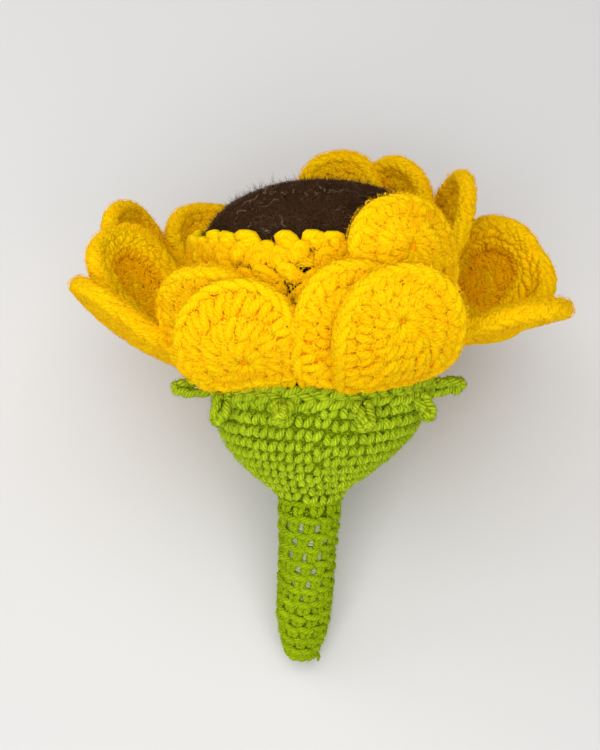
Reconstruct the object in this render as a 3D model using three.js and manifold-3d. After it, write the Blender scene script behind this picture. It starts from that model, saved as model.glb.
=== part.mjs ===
// A crocheted, stuffed sunflower head on a short stem, lying on its side on a table.
//
// Two frames are used, both in millimetres. The flower's own frame has its centre where the green
// calyx meets the first petals, +Z along the flower's axis from the stem to the seed dome, and -Y
// as its front, the side that ends up on top. The outer group then lays the flower down: +Y is the
// way the seed dome points, +X is its right, and z = 0 is the table.
//
// An azimuth goes round the flower's axis: 0 is the front, 90 the right, 180 the side by the table.

import * as THREE from 'three';
import { mergeVertices } from 'three/addons/utils/BufferGeometryUtils.js';
import Module from 'manifold-3d';

const wasm = await Module();
wasm.setup();

// How the flower lies
const axisTilt = 28; // degrees of the flower's axis above the table
const seat = new THREE.Vector3(0.324, -5.929, 58.76); // where the flower frame's centre comes to lie

// Gap between pieces that touch
const gap = 0.3;

// Stem, a stuffed tube of about ten stitches round, cut flat at its foot
const neckZ = -35;
const stemLength = 56; // measured along the flower's axis
const stemNeckRadius = 10.2;
const stemRadius = 9.2;
const stemFootRadius = 6;
const stemDroop = 13.53; // how far the foot sinks towards the table
const droopStart = -38;
const droopPower = 1.35;
const neckShift = -3.4; // the stem's sideways offset from the head's axis
const shiftFrom = -2;
const shiftTo = -30;
const footShift = -2.6; // the further sideways offset at the foot

// Calyx bowl
const bowlRadius = 34.6;
const rimZ = 4.4;

// Sepals, the small picots along the rim of the bowl
const sepalFirstAzimuth = -90;
const sepalWidth = 6;
const sepalThickness = 3.4;
const sepalRootRadius = 35.6;
const sepalRootZ = -0.4;
const sepals = [ // each one's length, and its angle above the rim's plane
  { length: 11.5, curl: 0 }, { length: 8.5, curl: -68 }, { length: 8, curl: -12 },
  { length: 8, curl: -52 }, { length: 8, curl: -12 }, { length: 10, curl: 12 },
  { length: 7.5, curl: 10 }, { length: 8.5, curl: -6 }, { length: 8.5, curl: -18 },
  { length: 8.5, curl: 10 },
];

// Seed dome, the brown stuffed ball that fills the head
const domeRadius = 34.8;
const domeShoulderZ = 44;
const domeTopZ = 62.6;
const domeFootRadius = 31;

// Scalloped band round the seed dome
const bandBottomZ = 29.5;
const bandTopZ = 46.5;
const bandInnerRadius = domeRadius + gap + 0.1;
const bandWaistRadius = 39;
const bandRadius = 40.4;
const scallopCount = 38;
const scallopDepth = 0.9;
const scallopRise = 1.4;
const scallopSegments = 3;

// Petals, each a cupped, thick disc that is rounder at its tip than at its root. A petal stands on
// the head at azimuth and at height z of radius, and points up at lean degrees above the radial
// direction. Twist turns it about its own length and roll swings it in its own plane. Its centre
// lies below the way up its length, tip above that, and half is its half width. Arch is how far
// the middle of its length stands out and cup how far its two sides curl in. An edge that is
// rolled over has a roll radius, edgeRoll, at the angle edgeAt from the tip, edgeStart out.
const petalThickness = 6.4;
const petalNarrowing = 0.12;
const tipPower = 2.2;
const rootPower = 5;
const rings = {
  lower: [
    { radius: 36.5, azimuth: -85.5, z: 7, lean: 34.5, twist: -11.5, roll: 8, below: 25.5, tip: 21, half: 17.5, arch: 5, cup: 4 },
    { radius: 38, azimuth: -30, z: 6, lean: 73, twist: -19.5, roll: -4, below: 14, tip: 17, half: 18.5, arch: 6.5, cup: 1.5 },
    { radius: 38.5, azimuth: 27.5, z: 6.5, lean: 62, twist: 6.5, roll: -13.5, below: 19.5, tip: 19, half: 19, arch: 8.5, cup: 2.5 },
    { radius: 35.5, azimuth: 87, z: 13.5, lean: 16.5, twist: 4.5, roll: -15.5, below: 23, tip: 19, half: 16.5, arch: 1, cup: 5 },
    { radius: 37, azimuth: 148, z: 6, lean: 7.22, twist: 0, roll: 0, below: 25, tip: 19, half: 18, arch: 4.8, cup: 5.6 },
    { radius: 37, azimuth: -148, z: 6, lean: 7.22, twist: 0, roll: 0, below: 25, tip: 19, half: 18, arch: 4.8, cup: 5.6 },
  ],
  middle: [
    { radius: 37.5, azimuth: -95.5, z: 14, lean: 52, twist: 27, roll: 7.5, below: 26.5, tip: 18.5, half: 18, arch: 5.5, cup: 5.5, edgeRoll: 6, edgeAt: -59, edgeStart: 12.5 },
    { radius: 39, azimuth: -47.5, z: 5.5, lean: 77, twist: -14.5, roll: 1.5, below: 18.5, tip: 15.5, half: 19, arch: 3.5, cup: 5.5 },
    { radius: 38.5, azimuth: 6, z: 6, lean: 75, twist: -2, roll: 6.5, below: 19.5, tip: 17, half: 15.5, arch: 5.5, cup: 4 },
    { radius: 41, azimuth: 108.5, z: 16.5, lean: 51.5, twist: -36, roll: 6.5, below: 26.5, tip: 16.5, half: 18, arch: 12, cup: 3, edgeRoll: 6, edgeAt: -92.5, edgeStart: 12.5 },
    { radius: 38.5, azimuth: 142, z: 14, lean: 38, twist: 0, roll: 0, below: 24, tip: 18, half: 17, arch: 4.8, cup: 5.6 },
    { radius: 38.5, azimuth: 180, z: 14, lean: 38, twist: 0, roll: 0, below: 24, tip: 18, half: 18, arch: 4.8, cup: 5.6 },
    { radius: 38.5, azimuth: -140, z: 14, lean: 38, twist: 0, roll: 0, below: 24, tip: 18, half: 17, arch: 4.8, cup: 5.6 },
  ],
  upper: [
    { radius: 43, azimuth: 31.5, z: 20.5, lean: 97, twist: 5.5, roll: -2, below: 20, tip: 17, half: 16.5, arch: 7.5, cup: 7 },
    { radius: 42, azimuth: 119, z: 31.5, lean: 74, twist: 19.5, roll: 13, below: 21, tip: 16.5, half: 18, arch: 4, cup: 3 },
    { radius: 44.5, azimuth: 145.5, z: 32, lean: 88, twist: 23.5, roll: 15.5, below: 22, tip: 19, half: 18.5, arch: 7, cup: 2 },
    { radius: 42, azimuth: 168, z: 34, lean: 77.5, twist: -3.5, roll: 6.5, below: 24.5, tip: 17.5, half: 15.5, arch: 5, cup: 4.5 },
    { radius: 41.5, azimuth: -136, z: 24.5, lean: 59, twist: 8, roll: -6, below: 20.5, tip: 17, half: 18.5, arch: 5, cup: 6.5 },
    { radius: 42, azimuth: -118.5, z: 24, lean: 52, twist: 1, roll: 14.5, below: 25, tip: 18.5, half: 16.5, arch: 9, cup: 3 },
  ],
};

// How finely the round pieces are divided
const roundSegments = 40;
const petalSegments = 24;

const rad = THREE.MathUtils.degToRad;

const yarn = {
  green: { color: 0x9ab412, roughness: 0.9, metalness: 0 },
  yellow: { color: 0xffc404, roughness: 0.9, metalness: 0 },
  brown: { color: 0x33261e, roughness: 0.95, metalness: 0 },
};

// Moves every corner of a geometry by place(x, y, z), which returns its new position.
function reshaped(geometry, place) {
  const corners = geometry.getAttribute('position');
  for (let i = 0; i < corners.count; i += 1) {
    const moved = place(corners.getX(i), corners.getY(i), corners.getZ(i));
    corners.setXYZ(i, moved.x, moved.y, moved.z);
  }
  return geometry;
}

// A body of revolution about Z from [radius, z] pairs, given from the bottom up.
function turned(profile, segments) {
  const points = profile.map(([radius, z]) => new THREE.Vector2(radius, z));
  return new THREE.LatheGeometry(points, segments).rotateX(Math.PI / 2);
}

// A geometry as a solid, and a solid as a geometry again.
function solidOf(geometry) {
  const bare = geometry.clone();
  bare.deleteAttribute('normal');
  bare.deleteAttribute('uv');
  const merged = mergeVertices(bare, 1e-4);
  return new wasm.Manifold(new wasm.Mesh({
    numProp: 3,
    vertProperties: new Float32Array(merged.getAttribute('position').array),
    triVerts: new Uint32Array(merged.getIndex().array),
  }));
}

function geometryOf(solid) {
  const mesh = solid.getMesh();
  const geometry = new THREE.BufferGeometry();
  geometry.setAttribute('position', new THREE.BufferAttribute(mesh.vertProperties, 3));
  geometry.setIndex(new THREE.BufferAttribute(mesh.triVerts, 1));
  geometry.computeVertexNormals();
  return geometry;
}

// What is left of a solid once its neighbours are taken out of it, as its one largest body.
function cutClear(solid, neighbours) {
  const rest = neighbours.reduce((left, neighbour) => left.subtract(neighbour), solid);
  return rest.decompose().sort((a, b) => b.volume() - a.volume())[0];
}

// The way the stem's middle runs below the head: a sideways shift, and a droop to the table.
function middleLine(z) {
  const shift = neckShift * THREE.MathUtils.smoothstep(-z, -shiftFrom, -shiftTo);
  const down = Math.max(0, (droopStart - z) / (droopStart - neckZ + stemLength));
  return new THREE.Vector3(shift + footShift * down, stemDroop * down ** droopPower, z);
}

// Carries a point that is turned about Z onto the middle line, square to it.
function alongMiddle(x, y, z) {
  const step = 0.5;
  const forward = middleLine(z + step).sub(middleLine(z - step)).normalize();
  const right = new THREE.Vector3(1, 0, 0).addScaledVector(forward, -forward.x).normalize();
  const back = new THREE.Vector3().crossVectors(forward, right);
  return middleLine(z).addScaledVector(right, x).addScaledVector(back, y);
}

function stemSolid() {
  const footZ = neckZ - stemLength;
  const profile = [
    [0, footZ],
    [stemFootRadius, footZ],
    [stemFootRadius + 1, footZ + 4],
    [stemRadius - 1, footZ + 9],
    [stemRadius - 0.3, footZ + 14],
    [stemRadius + 0.1, footZ + 22],
    [stemRadius, footZ + 30],
    [stemRadius + 0.1, footZ + 38],
    [stemNeckRadius - 0.4, footZ + 46],
    [stemNeckRadius, footZ + 52],
    [stemNeckRadius, neckZ - gap],
    [0, neckZ - gap],
  ];
  return solidOf(reshaped(turned(profile, 20), alongMiddle));
}

// The bowl, which stays level while it shifts sideways. grow makes it larger all round.
function bowlSolid(grow = 0) {
  const profile = [
    [0, neckZ - grow],
    [stemNeckRadius + 0.3 + grow, neckZ - grow],
    [12.9 + grow, neckZ + 3.5],
    [17.1 + grow, neckZ + 7],
    [22.2 + grow, neckZ + 11.4],
    [26.9 + grow, neckZ + 16.2],
    [30.1 + grow, neckZ + 20.5],
    [32.3 + grow, neckZ + 25],
    [34 + grow, neckZ + 30],
    [bowlRadius + grow, neckZ + 34],
    [bowlRadius - 0.2 + grow, rimZ + grow],
    [0, rimZ + grow],
  ];
  return solidOf(reshaped(turned(profile, roundSegments), (x, y, z) => (
    middleLine(Math.max(z, droopStart)).add(new THREE.Vector3(x, y, z - Math.max(z, droopStart))))));
}

// The dome. grow makes it larger all round.
function domeSolid(grow = 0) {
  const rise = domeTopZ - domeShoulderZ + grow;
  const profile = [
    [0, rimZ + gap - grow],
    [domeFootRadius + grow, rimZ + gap - grow],
    [domeRadius - 1.4 + grow, rimZ + 2],
    [domeRadius - 0.6 + grow, 15],
    [domeRadius - 0.2 + grow, 30],
  ];
  for (let turn = 0; turn < 90; turn += 15) {
    const angle = rad(turn);
    profile.push([(domeRadius + grow) * Math.cos(angle), domeShoulderZ + rise * Math.sin(angle)]);
  }
  profile.push([0, domeTopZ + grow]);
  return solidOf(turned(profile, roundSegments));
}

// The band has two rows of bumps: its outside and its top edge swell once for each scallop.
function bandSolid() {
  const middleZ = (bandBottomZ + bandTopZ) / 2;
  const profile = [
    [bandInnerRadius, bandBottomZ],
    [bandRadius - 0.8, bandBottomZ],
    [bandRadius, (bandBottomZ + middleZ) / 2],
    [bandWaistRadius, middleZ],
    [bandRadius, (bandTopZ + middleZ) / 2 + 1],
    [bandRadius - 0.8, bandTopZ],
    [bandInnerRadius, bandTopZ],
    [bandInnerRadius, bandBottomZ],
  ];
  const ring = turned(profile, scallopCount * scallopSegments);
  return solidOf(reshaped(ring, (x, y, z) => {
    const azimuth = Math.atan2(x, -y);
    const radius = Math.hypot(x, y);
    const swell = Math.abs(Math.sin((azimuth * scallopCount) / 2));
    const outside = radius > bandInnerRadius + 0.5 ? 1 : 0;
    const grown = radius + scallopDepth * swell * outside;
    const lifted = z > bandTopZ - 0.5 ? z + scallopRise * swell : z;
    return new THREE.Vector3(grown * Math.sin(azimuth), -grown * Math.cos(azimuth), lifted);
  }));
}

// The directions of a blade that stands on the head: out from the axis, along its length, to its
// side, and the way its outside faces.
function bladeFrame({ azimuth, lean, twist = 0, roll = 0 }) {
  const up = new THREE.Vector3(0, 0, 1);
  const out = new THREE.Vector3(Math.sin(rad(azimuth)), -Math.cos(rad(azimuth)), 0);
  const flat = new THREE.Vector3(Math.cos(rad(azimuth)), Math.sin(rad(azimuth)), 0);
  const straight = out.clone().multiplyScalar(Math.cos(rad(lean)))
    .addScaledVector(up, Math.sin(rad(lean)));
  const face = out.clone().multiplyScalar(Math.sin(rad(lean)))
    .addScaledVector(up, -Math.cos(rad(lean)));
  const side = flat.clone().multiplyScalar(Math.cos(rad(twist)))
    .addScaledVector(face, Math.sin(rad(twist)));
  face.multiplyScalar(Math.cos(rad(twist))).addScaledVector(flat, -Math.sin(rad(twist)));
  const length = straight.clone().multiplyScalar(Math.cos(rad(roll)))
    .addScaledVector(side, Math.sin(rad(roll)));
  side.multiplyScalar(Math.cos(rad(roll))).addScaledVector(straight, -Math.sin(rad(roll)));
  return { out, length, side, face };
}

// Rolls a point over an edge: past edgeStart in the direction edgeAt from the tip, the petal bends
// inwards about a line. The place is where the point's foot lies on the flat petal.
function rolledOver(point, place, { edgeRoll = 0, edgeAt = 0, edgeStart = 0 }) {
  const ahead = new THREE.Vector3(Math.cos(rad(edgeAt)), Math.sin(rad(edgeAt)), 0);
  const over = place.dot(ahead) - edgeStart;
  if (!edgeRoll || over <= 0) {
    return point;
  }
  const angle = over / edgeRoll;
  const before = point.dot(ahead) - place.dot(ahead);
  const out = edgeStart + (edgeRoll + point.z) * Math.sin(angle) + before * Math.cos(angle);
  const height = -edgeRoll * (1 - Math.cos(angle)) + point.z * Math.cos(angle)
    - before * Math.sin(angle);
  return point.clone().addScaledVector(ahead, out - point.dot(ahead)).setZ(height);
}

// A petal's solid. grow makes it larger all round, for cutting its neighbours clear of it.
function petalSolid(petal, grow = 0) {
  const { out, length, side, face } = bladeFrame(petal);
  const root = out.clone().multiplyScalar(petal.radius).setZ(petal.z);
  const whole = petal.below + petal.tip;
  const half = petalThickness / 2 + grow;
  const profile = [
    [0, -half], [0.45, -half], [0.76, -half], [0.93, -0.72 * half],
    [1, 0],
    [0.93, 0.72 * half], [0.76, half], [0.45, half], [0, half],
  ];
  return solidOf(reshaped(turned(profile, petalSegments), (x, y, z) => {
    const turn = Math.atan2(x, y);
    const reach = Math.hypot(x, y);
    const [ahead, aside] = [Math.cos(turn), Math.sin(turn)];
    const power = ahead > 0 ? tipPower : rootPower;
    const bulge = (Math.abs(ahead) ** power + Math.abs(aside) ** power) ** (-1 / power);
    const along = ahead * bulge * reach * ((ahead > 0 ? petal.tip : petal.below) + grow);
    const across = aside * bulge * reach * (1 - petalNarrowing * reach * Math.max(-ahead, 0));
    const share = (along + petal.below) / whole;
    const stand = 4 * petal.arch * share * (1 - share) - petal.cup * across ** 2;
    const normal = new THREE.Vector3(
      (-4 * petal.arch * (1 - 2 * share)) / whole,
      (2 * petal.cup * across) / petal.half,
      1,
    ).normalize();
    const place = new THREE.Vector3(along, across * (petal.half + grow), 0);
    const flat = place.clone().setZ(stand).addScaledVector(normal, z);
    const bent = rolledOver(flat, place, petal);
    return root.clone()
      .addScaledVector(length, bent.x + petal.below)
      .addScaledVector(side, bent.y)
      .addScaledVector(face, bent.z);
  }));
}

// A sepal is a small flat lobe that tapers to its tip.
function sepalSolid(azimuth, { length: reach, curl }) {
  const { out, length, side, face } = bladeFrame({ azimuth, lean: curl });
  const root = out.clone().multiplyScalar(sepalRootRadius).setZ(sepalRootZ);
  return solidOf(reshaped(new THREE.SphereGeometry(0.5, 8, 6), (x, y, z) => {
    const narrow = 1 - 0.4 * (y + 0.5);
    return root.clone()
      .addScaledVector(side, x * sepalWidth * narrow)
      .addScaledVector(length, (y + 0.5) * reach)
      .addScaledVector(face, z * sepalThickness * narrow);
  }));
}

const flower = new THREE.Group();

function add(name, solid, finish) {
  const mesh = new THREE.Mesh(geometryOf(solid), new THREE.MeshStandardMaterial(finish));
  mesh.name = name;
  flower.add(mesh);
}

add('stem', stemSolid(), yarn.green);
add('calyx_bowl', bowlSolid(), yarn.green);
add('seed_dome', domeSolid(), yarn.brown);

// Each petal is cut clear of the ones that lie outside it and of the stuffed head.
const grownHead = [bowlSolid(gap), domeSolid(gap)];
const laid = [];
for (const [ringName, petals] of Object.entries(rings)) {
  petals.forEach((petal, index) => {
    const clear = cutClear(petalSolid(petal), [...grownHead, ...laid]);
    add(`petal_${ringName}_${index + 1}`, clear, yarn.yellow);
    laid.push(petalSolid(petal, gap));
  });
}
add('scalloped_band', cutClear(bandSolid(), laid), yarn.yellow);

sepals.forEach((sepal, index) => {
  const azimuth = sepalFirstAzimuth + (360 / sepals.length) * index;
  const clear = cutClear(sepalSolid(azimuth, sepal), [bowlSolid(gap), ...laid]);
  add(`sepal_${index + 1}`, clear, yarn.green);
});

const lying = new THREE.Group();
flower.rotation.x = rad(axisTilt - 90);
flower.position.copy(seat);
lying.add(flower);

export default lying;
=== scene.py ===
"""Looks of a crocheted, stuffed sunflower head that lies on its side on a pale table.

Every strand of yarn that shows is a modelled strand: the stitches of the stem and the calyx bowl,
the rounds of each petal, the bumps of the band, the loops of the sepals and the brushed fibres of
the seed dome. Shapes are worked out in millimetres in the flower's own frame, whose centre is
where the calyx meets the lowest petals, with +Z along the flower's axis and -Y as its front, and
are then laid down on the table. An azimuth goes round the axis: 0 is the front, 90 the right.
"""

import logging
import math
from dataclasses import dataclass, field, replace
from enum import Enum
from typing import Callable, Optional, Protocol, Sequence

import bpy
import numpy as np
from mathutils import Matrix, Vector

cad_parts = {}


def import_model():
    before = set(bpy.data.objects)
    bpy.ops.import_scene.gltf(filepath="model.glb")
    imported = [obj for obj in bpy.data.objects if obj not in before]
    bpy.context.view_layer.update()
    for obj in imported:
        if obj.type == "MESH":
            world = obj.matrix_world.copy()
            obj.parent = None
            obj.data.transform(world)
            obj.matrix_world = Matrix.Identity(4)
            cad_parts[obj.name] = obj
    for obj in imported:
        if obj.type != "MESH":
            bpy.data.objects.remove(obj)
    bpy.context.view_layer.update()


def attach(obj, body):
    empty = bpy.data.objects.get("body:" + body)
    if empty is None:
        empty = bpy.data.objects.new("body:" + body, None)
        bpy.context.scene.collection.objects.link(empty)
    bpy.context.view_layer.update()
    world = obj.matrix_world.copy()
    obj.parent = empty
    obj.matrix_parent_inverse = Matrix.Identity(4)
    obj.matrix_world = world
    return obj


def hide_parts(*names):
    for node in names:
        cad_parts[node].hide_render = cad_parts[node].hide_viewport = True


Array = np.ndarray
# One number for all the stitches of a round, or one for each
Measure = Array | float

MM = 0.001
# Yarn that would sink into the table lies flat on it, this far above it
PRESSED = 0.0001
TURN = 2 * math.pi
# Vectors shorter than this have no direction
TINY = 1e-9
BODY = "root"
SEED = 31

log = logging.getLogger("sunflower")


class Side(Enum):
    """Which face of a fabric a row of stitches lies on."""

    OUTER = 1.0
    INNER = -1.0


class Yarn(Enum):
    """The yarns, by the record's material slots."""

    GREEN = "green_yarn"
    YELLOW = "yellow_yarn"
    BROWN = "brown_yarn"


@dataclass(frozen=True)
class Pose:
    """How the flower lies: its axis's angle above the table and where its centre comes to lie."""

    axis_tilt: float = 28.0
    seat: tuple[float, float, float] = (0.324, -5.929, 58.76)

    def lay(self, points: Array) -> Array:
        """Carries points from the flower's frame to the table's.

        Args:
            points: an array of positions in millimetres, any shape that ends in 3.

        Returns:
            The positions in metres, in the part's frame.
        """
        turn = math.radians(self.axis_tilt - 90)
        x, y, z = points[..., 0], points[..., 1], points[..., 2]
        laid = np.stack([
            x,
            y * math.cos(turn) - z * math.sin(turn),
            y * math.sin(turn) + z * math.cos(turn),
        ], axis=-1)
        return (laid + np.array(self.seat)) * MM


POSE = Pose()


class Surface(Protocol):
    """Anything that stitches can be laid on."""

    def at(self, u: Array, v: Array, lift: Array) -> Array:
        """Gives the points at places u and v, lifted off the surface, in the flower's frame."""


def blade_axes(azimuth: float, lean: float, twist: float = 0.0,
               roll: float = 0.0) -> tuple[Array, Array, Array, Array]:
    """Works out the directions of a blade that stands on the head.

    Args:
        azimuth: where round the axis it stands, in degrees.
        lean: its angle above the radial direction.
        twist: its turn about its own length.
        roll: its swing in its own plane.

    Returns:
        The unit vectors out from the axis, along the length, to the side and out of the face.
    """
    az, le, tw, ro = (math.radians(angle) for angle in (azimuth, lean, twist, roll))
    up = np.array([0.0, 0.0, 1.0])
    out = np.array([math.sin(az), -math.cos(az), 0.0])
    flat = np.array([math.cos(az), math.sin(az), 0.0])
    straight = out * math.cos(le) + up * math.sin(le)
    face = out * math.sin(le) - up * math.cos(le)
    side = flat * math.cos(tw) + face * math.sin(tw)
    face = face * math.cos(tw) - flat * math.sin(tw)
    length = straight * math.cos(ro) + side * math.sin(ro)
    side = side * math.cos(ro) - straight * math.sin(ro)
    return out, length, side, face


@dataclass
class MeshParts:
    """Collects corners and faces of many strands or sheets, to become one mesh."""

    points: list[Array] = field(default_factory=list)
    quads: list[Array] = field(default_factory=list)
    tris: list[Array] = field(default_factory=list)
    maps: list[Array] = field(default_factory=list)
    seams: list[Array] = field(default_factory=list)
    count: int = 0

    def add(self, points: Array, quads: Array, tris: Array, places: Array, seams: Array) -> None:
        """Adds one batch.

        Args:
            points: corners, n by 3, in the flower's frame.
            quads: four-sided faces as indices into points.
            tris: three-sided faces.
            places: a map place for each corner, n by 2: along and round the yarn.
            seams: for each quad, whether it closes the round, where the map starts again.
        """
        self.points.append(points)
        self.quads.append(quads + self.count)
        self.tris.append(tris + self.count)
        self.maps.append(places)
        self.seams.append(seams)
        self.count += len(points)

    def build(self, name: str, material: bpy.types.Material) -> bpy.types.Object:
        """Makes the mesh object, laid down on the table.

        Args:
            name: the piece's name.
            material: its finish.

        Returns:
            The new object, linked to the scene.
        """
        points = POSE.lay(np.concatenate(self.points))
        points[:, 2] = np.maximum(points[:, 2], PRESSED)
        places, seams = np.concatenate(self.maps), np.concatenate(self.seams)
        quads, tris = np.concatenate(self.quads), np.concatenate(self.tris)
        mesh = bpy.data.meshes.new(name)
        mesh.vertices.add(len(points))
        mesh.vertices.foreach_set("co", points.astype(np.float32).ravel())
        loops = np.concatenate([quads.ravel(), tris.ravel()]).astype(np.int32)
        mesh.loops.add(len(loops))
        mesh.loops.foreach_set("vertex_index", loops)
        starts = np.concatenate([
            np.arange(len(quads)) * 4,
            len(quads) * 4 + np.arange(len(tris)) * 3,
        ]).astype(np.int32)
        mesh.polygons.add(len(starts))
        mesh.polygons.foreach_set("loop_start", starts)
        mesh.polygons.foreach_set("use_smooth", np.ones(len(starts), bool))
        mapped = places[loops].astype(np.float32)
        around = mapped[:len(quads) * 4].reshape(-1, 4, 2)
        around[seams, 1:3, 1] += 1
        layer = mesh.uv_layers.new(name="Yarn")
        layer.data.foreach_set("uv", mapped.ravel())
        mesh.update(calc_edges=True)
        mesh.validate()
        mesh.materials.append(material)
        piece = bpy.data.objects.new(name, mesh)
        bpy.context.scene.collection.objects.link(piece)
        return piece


def tube_faces(rings: int, sides: int) -> tuple[Array, Array]:
    """Lists the faces of a tube of rings of corners.

    Args:
        rings: how many rings it has.
        sides: how many corners a ring has.

    Returns:
        The quads, and for each whether it closes the round.
    """
    row, col = np.meshgrid(np.arange(rings - 1), np.arange(sides), indexing="ij")
    here = row * sides + col
    beside = row * sides + (col + 1) % sides
    quads = np.stack([here, beside, beside + sides, here + sides], -1).reshape(-1, 4)
    return quads, (col == sides - 1).ravel()


# A strand whose bend spans less than this, in square millimetres, counts as straight
STRAIGHT = 1e-3
# The direction that the side of a straight strand is worked out from
ASKEW = (0.31, 0.72, 0.62)
# How far the ends of a strand stand out, as a share of its radius
TIP_SHARE = 0.7
# How far on in the yarn's pattern the next strand starts, and where that starts again, in mm
PATTERN_STEP, PATTERN_LENGTH = 7.31, 97.0
# The shortest way across a fibre that its width is scaled up from
LEAST_ACROSS = 1e-6


def strands(parts: MeshParts, paths: Array, radii: Array, sides: int = 6, flat: float = 1.0) -> None:
    """Adds round strands that are closed at both ends.

    Args:
        parts: what the strands are added to.
        paths: middle lines, n by k by 3.
        radii: radius at each of their points, n by k.
        sides: corners round a strand.
        flat: how thick a strand is across its bend, as a share of its width.
    """
    n, k, _ = paths.shape
    ahead = np.gradient(paths, axis=1)
    length = np.linalg.norm(ahead, axis=2)
    ahead /= np.maximum(length, TINY)[..., None]
    chord = paths[:, k // 2] - paths[:, 0]
    bulge = paths[:, k // 2] - (paths[:, 0] + paths[:, -1]) / 2
    across = np.cross(chord, bulge)
    bent = np.linalg.norm(across, axis=1) > STRAIGHT
    across = np.where(bent[:, None], across, np.cross(chord, ASKEW))
    across = np.repeat(across[:, None], k, axis=1)
    across -= ahead * np.sum(across * ahead, axis=2, keepdims=True)
    across /= np.maximum(np.linalg.norm(across, axis=2, keepdims=True), TINY)
    proud = np.cross(ahead, across)
    turn = np.linspace(0, TURN, sides, endpoint=False)
    ring = (across[:, :, None] * np.cos(turn)[None, None, :, None]
            + proud[:, :, None] * (flat * np.sin(turn))[None, None, :, None])
    corners = paths[:, :, None] + ring * radii[:, :, None, None]
    tips = np.stack([
        paths[:, 0] - ahead[:, 0] * radii[:, :1] * TIP_SHARE,
        paths[:, -1] + ahead[:, -1] * radii[:, -1:] * TIP_SHARE,
    ], axis=1)
    points = np.concatenate([corners.reshape(n, k * sides, 3), tips], axis=1)
    run = np.cumsum(length, axis=1) + (np.arange(n) * PATTERN_STEP % PATTERN_LENGTH)[:, None]
    along = np.repeat(run, sides, axis=1)
    around = np.tile(turn / TURN, (n, k))
    places = np.stack([along, around], axis=-1)
    ends = np.stack([run[:, [0, -1]], np.full((n, 2), 0.5)], axis=-1)
    places = np.concatenate([places, ends], axis=1)
    quads, seams = tube_faces(k, sides)
    near = np.arange(sides)
    last = (k - 1) * sides
    caps = np.concatenate([
        np.stack([np.full(sides, k * sides), (near + 1) % sides, near], -1),
        np.stack([np.full(sides, k * sides + 1), last + near, last + (near + 1) % sides], -1),
    ])
    step = (np.arange(n) * (k * sides + 2))[:, None, None]
    parts.add(points.reshape(-1, 3), (quads[None] + step).reshape(-1, 4),
              (caps[None] + step).reshape(-1, 3), places.reshape(-1, 2), np.tile(seams, n))


def sheet(parts: MeshParts, grid: Array) -> None:
    """Adds a smooth sheet that closes round its rows.

    Args:
        parts: what it is added to.
        grid: its points, rows by columns by 3.
    """
    rows, cols, _ = grid.shape
    quads, seams = tube_faces(rows, cols)
    v, u = np.meshgrid(np.arange(rows), np.linspace(0, 1, cols, endpoint=False), indexing="ij")
    places = np.stack([v, u], -1).reshape(-1, 2)
    parts.add(grid.reshape(-1, 3), quads, np.zeros((0, 3), int), places, seams)


def fibres(parts: MeshParts, roots: Array, middles: Array, tips: Array, width: float,
           rng: np.random.Generator, facing: Optional[Array] = None) -> None:
    """Adds fine loose fibres as bent slivers that taper to both ends.

    Args:
        parts: what the fibres are added to.
        roots: where they start, n by 3.
        middles: the middle of their bends, n by 3.
        tips: where they end, n by 3.
        width: their width at the middle.
        rng: the seeded source of their unevenness.
        facing: the way their flat side looks, where it matters.
    """
    n = len(roots)
    looks = rng.normal(size=(n, 3)) if facing is None else facing
    half = np.cross(tips - roots, looks)
    half *= width / 2 / np.maximum(np.linalg.norm(half, axis=1, keepdims=True), LEAST_ACROSS)
    points = np.stack([middles - half, roots, middles + half, tips], 1)
    step = (np.arange(n) * 4)[:, None]
    tris = np.concatenate([np.array([0, 1, 2])[None] + step, np.array([0, 2, 3])[None] + step])
    sliver = np.array([[0, 0.1], [0.5, 0], [0.5, 0.2], [1, 0.1]])
    places = (sliver[None] + np.arange(n)[:, None, None]).reshape(-1, 2)
    parts.add(points.reshape(-1, 3), np.zeros((0, 4), int), tris, places, np.zeros(0, bool))


class Nodes:
    """A material's node tree, with short ways to add the nodes that yarn needs."""

    def __init__(self, name: str) -> None:
        """Starts a material.

        Args:
            name: the material's name.
        """
        self.material = bpy.data.materials.new(name)
        self.material.use_nodes = True
        self.tree = self.material.node_tree
        self.shader = self.tree.nodes["Principled BSDF"]

    def add(self, kind: str, **links: object) -> bpy.types.Node:
        """Adds a node and feeds its inputs.

        Args:
            kind: the node's type, without its ShaderNode prefix.
            links: a socket or a value for each input, by its name with underscores.

        Returns:
            The new node.
        """
        node = self.tree.nodes.new(f"ShaderNode{kind}")
        for name, value in links.items():
            self.feed(node.inputs[name.replace("_", " ")], value)
        return node

    def feed(self, socket: bpy.types.NodeSocket, value: object) -> None:
        """Links a socket to another or sets its value.

        Args:
            socket: the input.
            value: the socket that feeds it, or its value.
        """
        if isinstance(value, bpy.types.NodeSocket):
            self.tree.links.new(value, socket)
        else:
            socket.default_value = value

    def math(self, kind: str, first: object, second: object = 0.0) -> bpy.types.NodeSocket:
        """Adds a math node.

        Args:
            kind: what it does, by the node's own name for it.
            first: the first socket or number that it works on.
            second: the second.

        Returns:
            The socket with its result.
        """
        node = self.tree.nodes.new("ShaderNodeMath")
        node.operation = kind
        self.feed(node.inputs[0], first)
        self.feed(node.inputs[1], second)
        return node.outputs["Value"]


# The Mix node lists its sockets by kind: these are its two colours in and its colour out
MIX_LOW, MIX_HIGH, MIX_RESULT = 6, 7, 2


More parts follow.
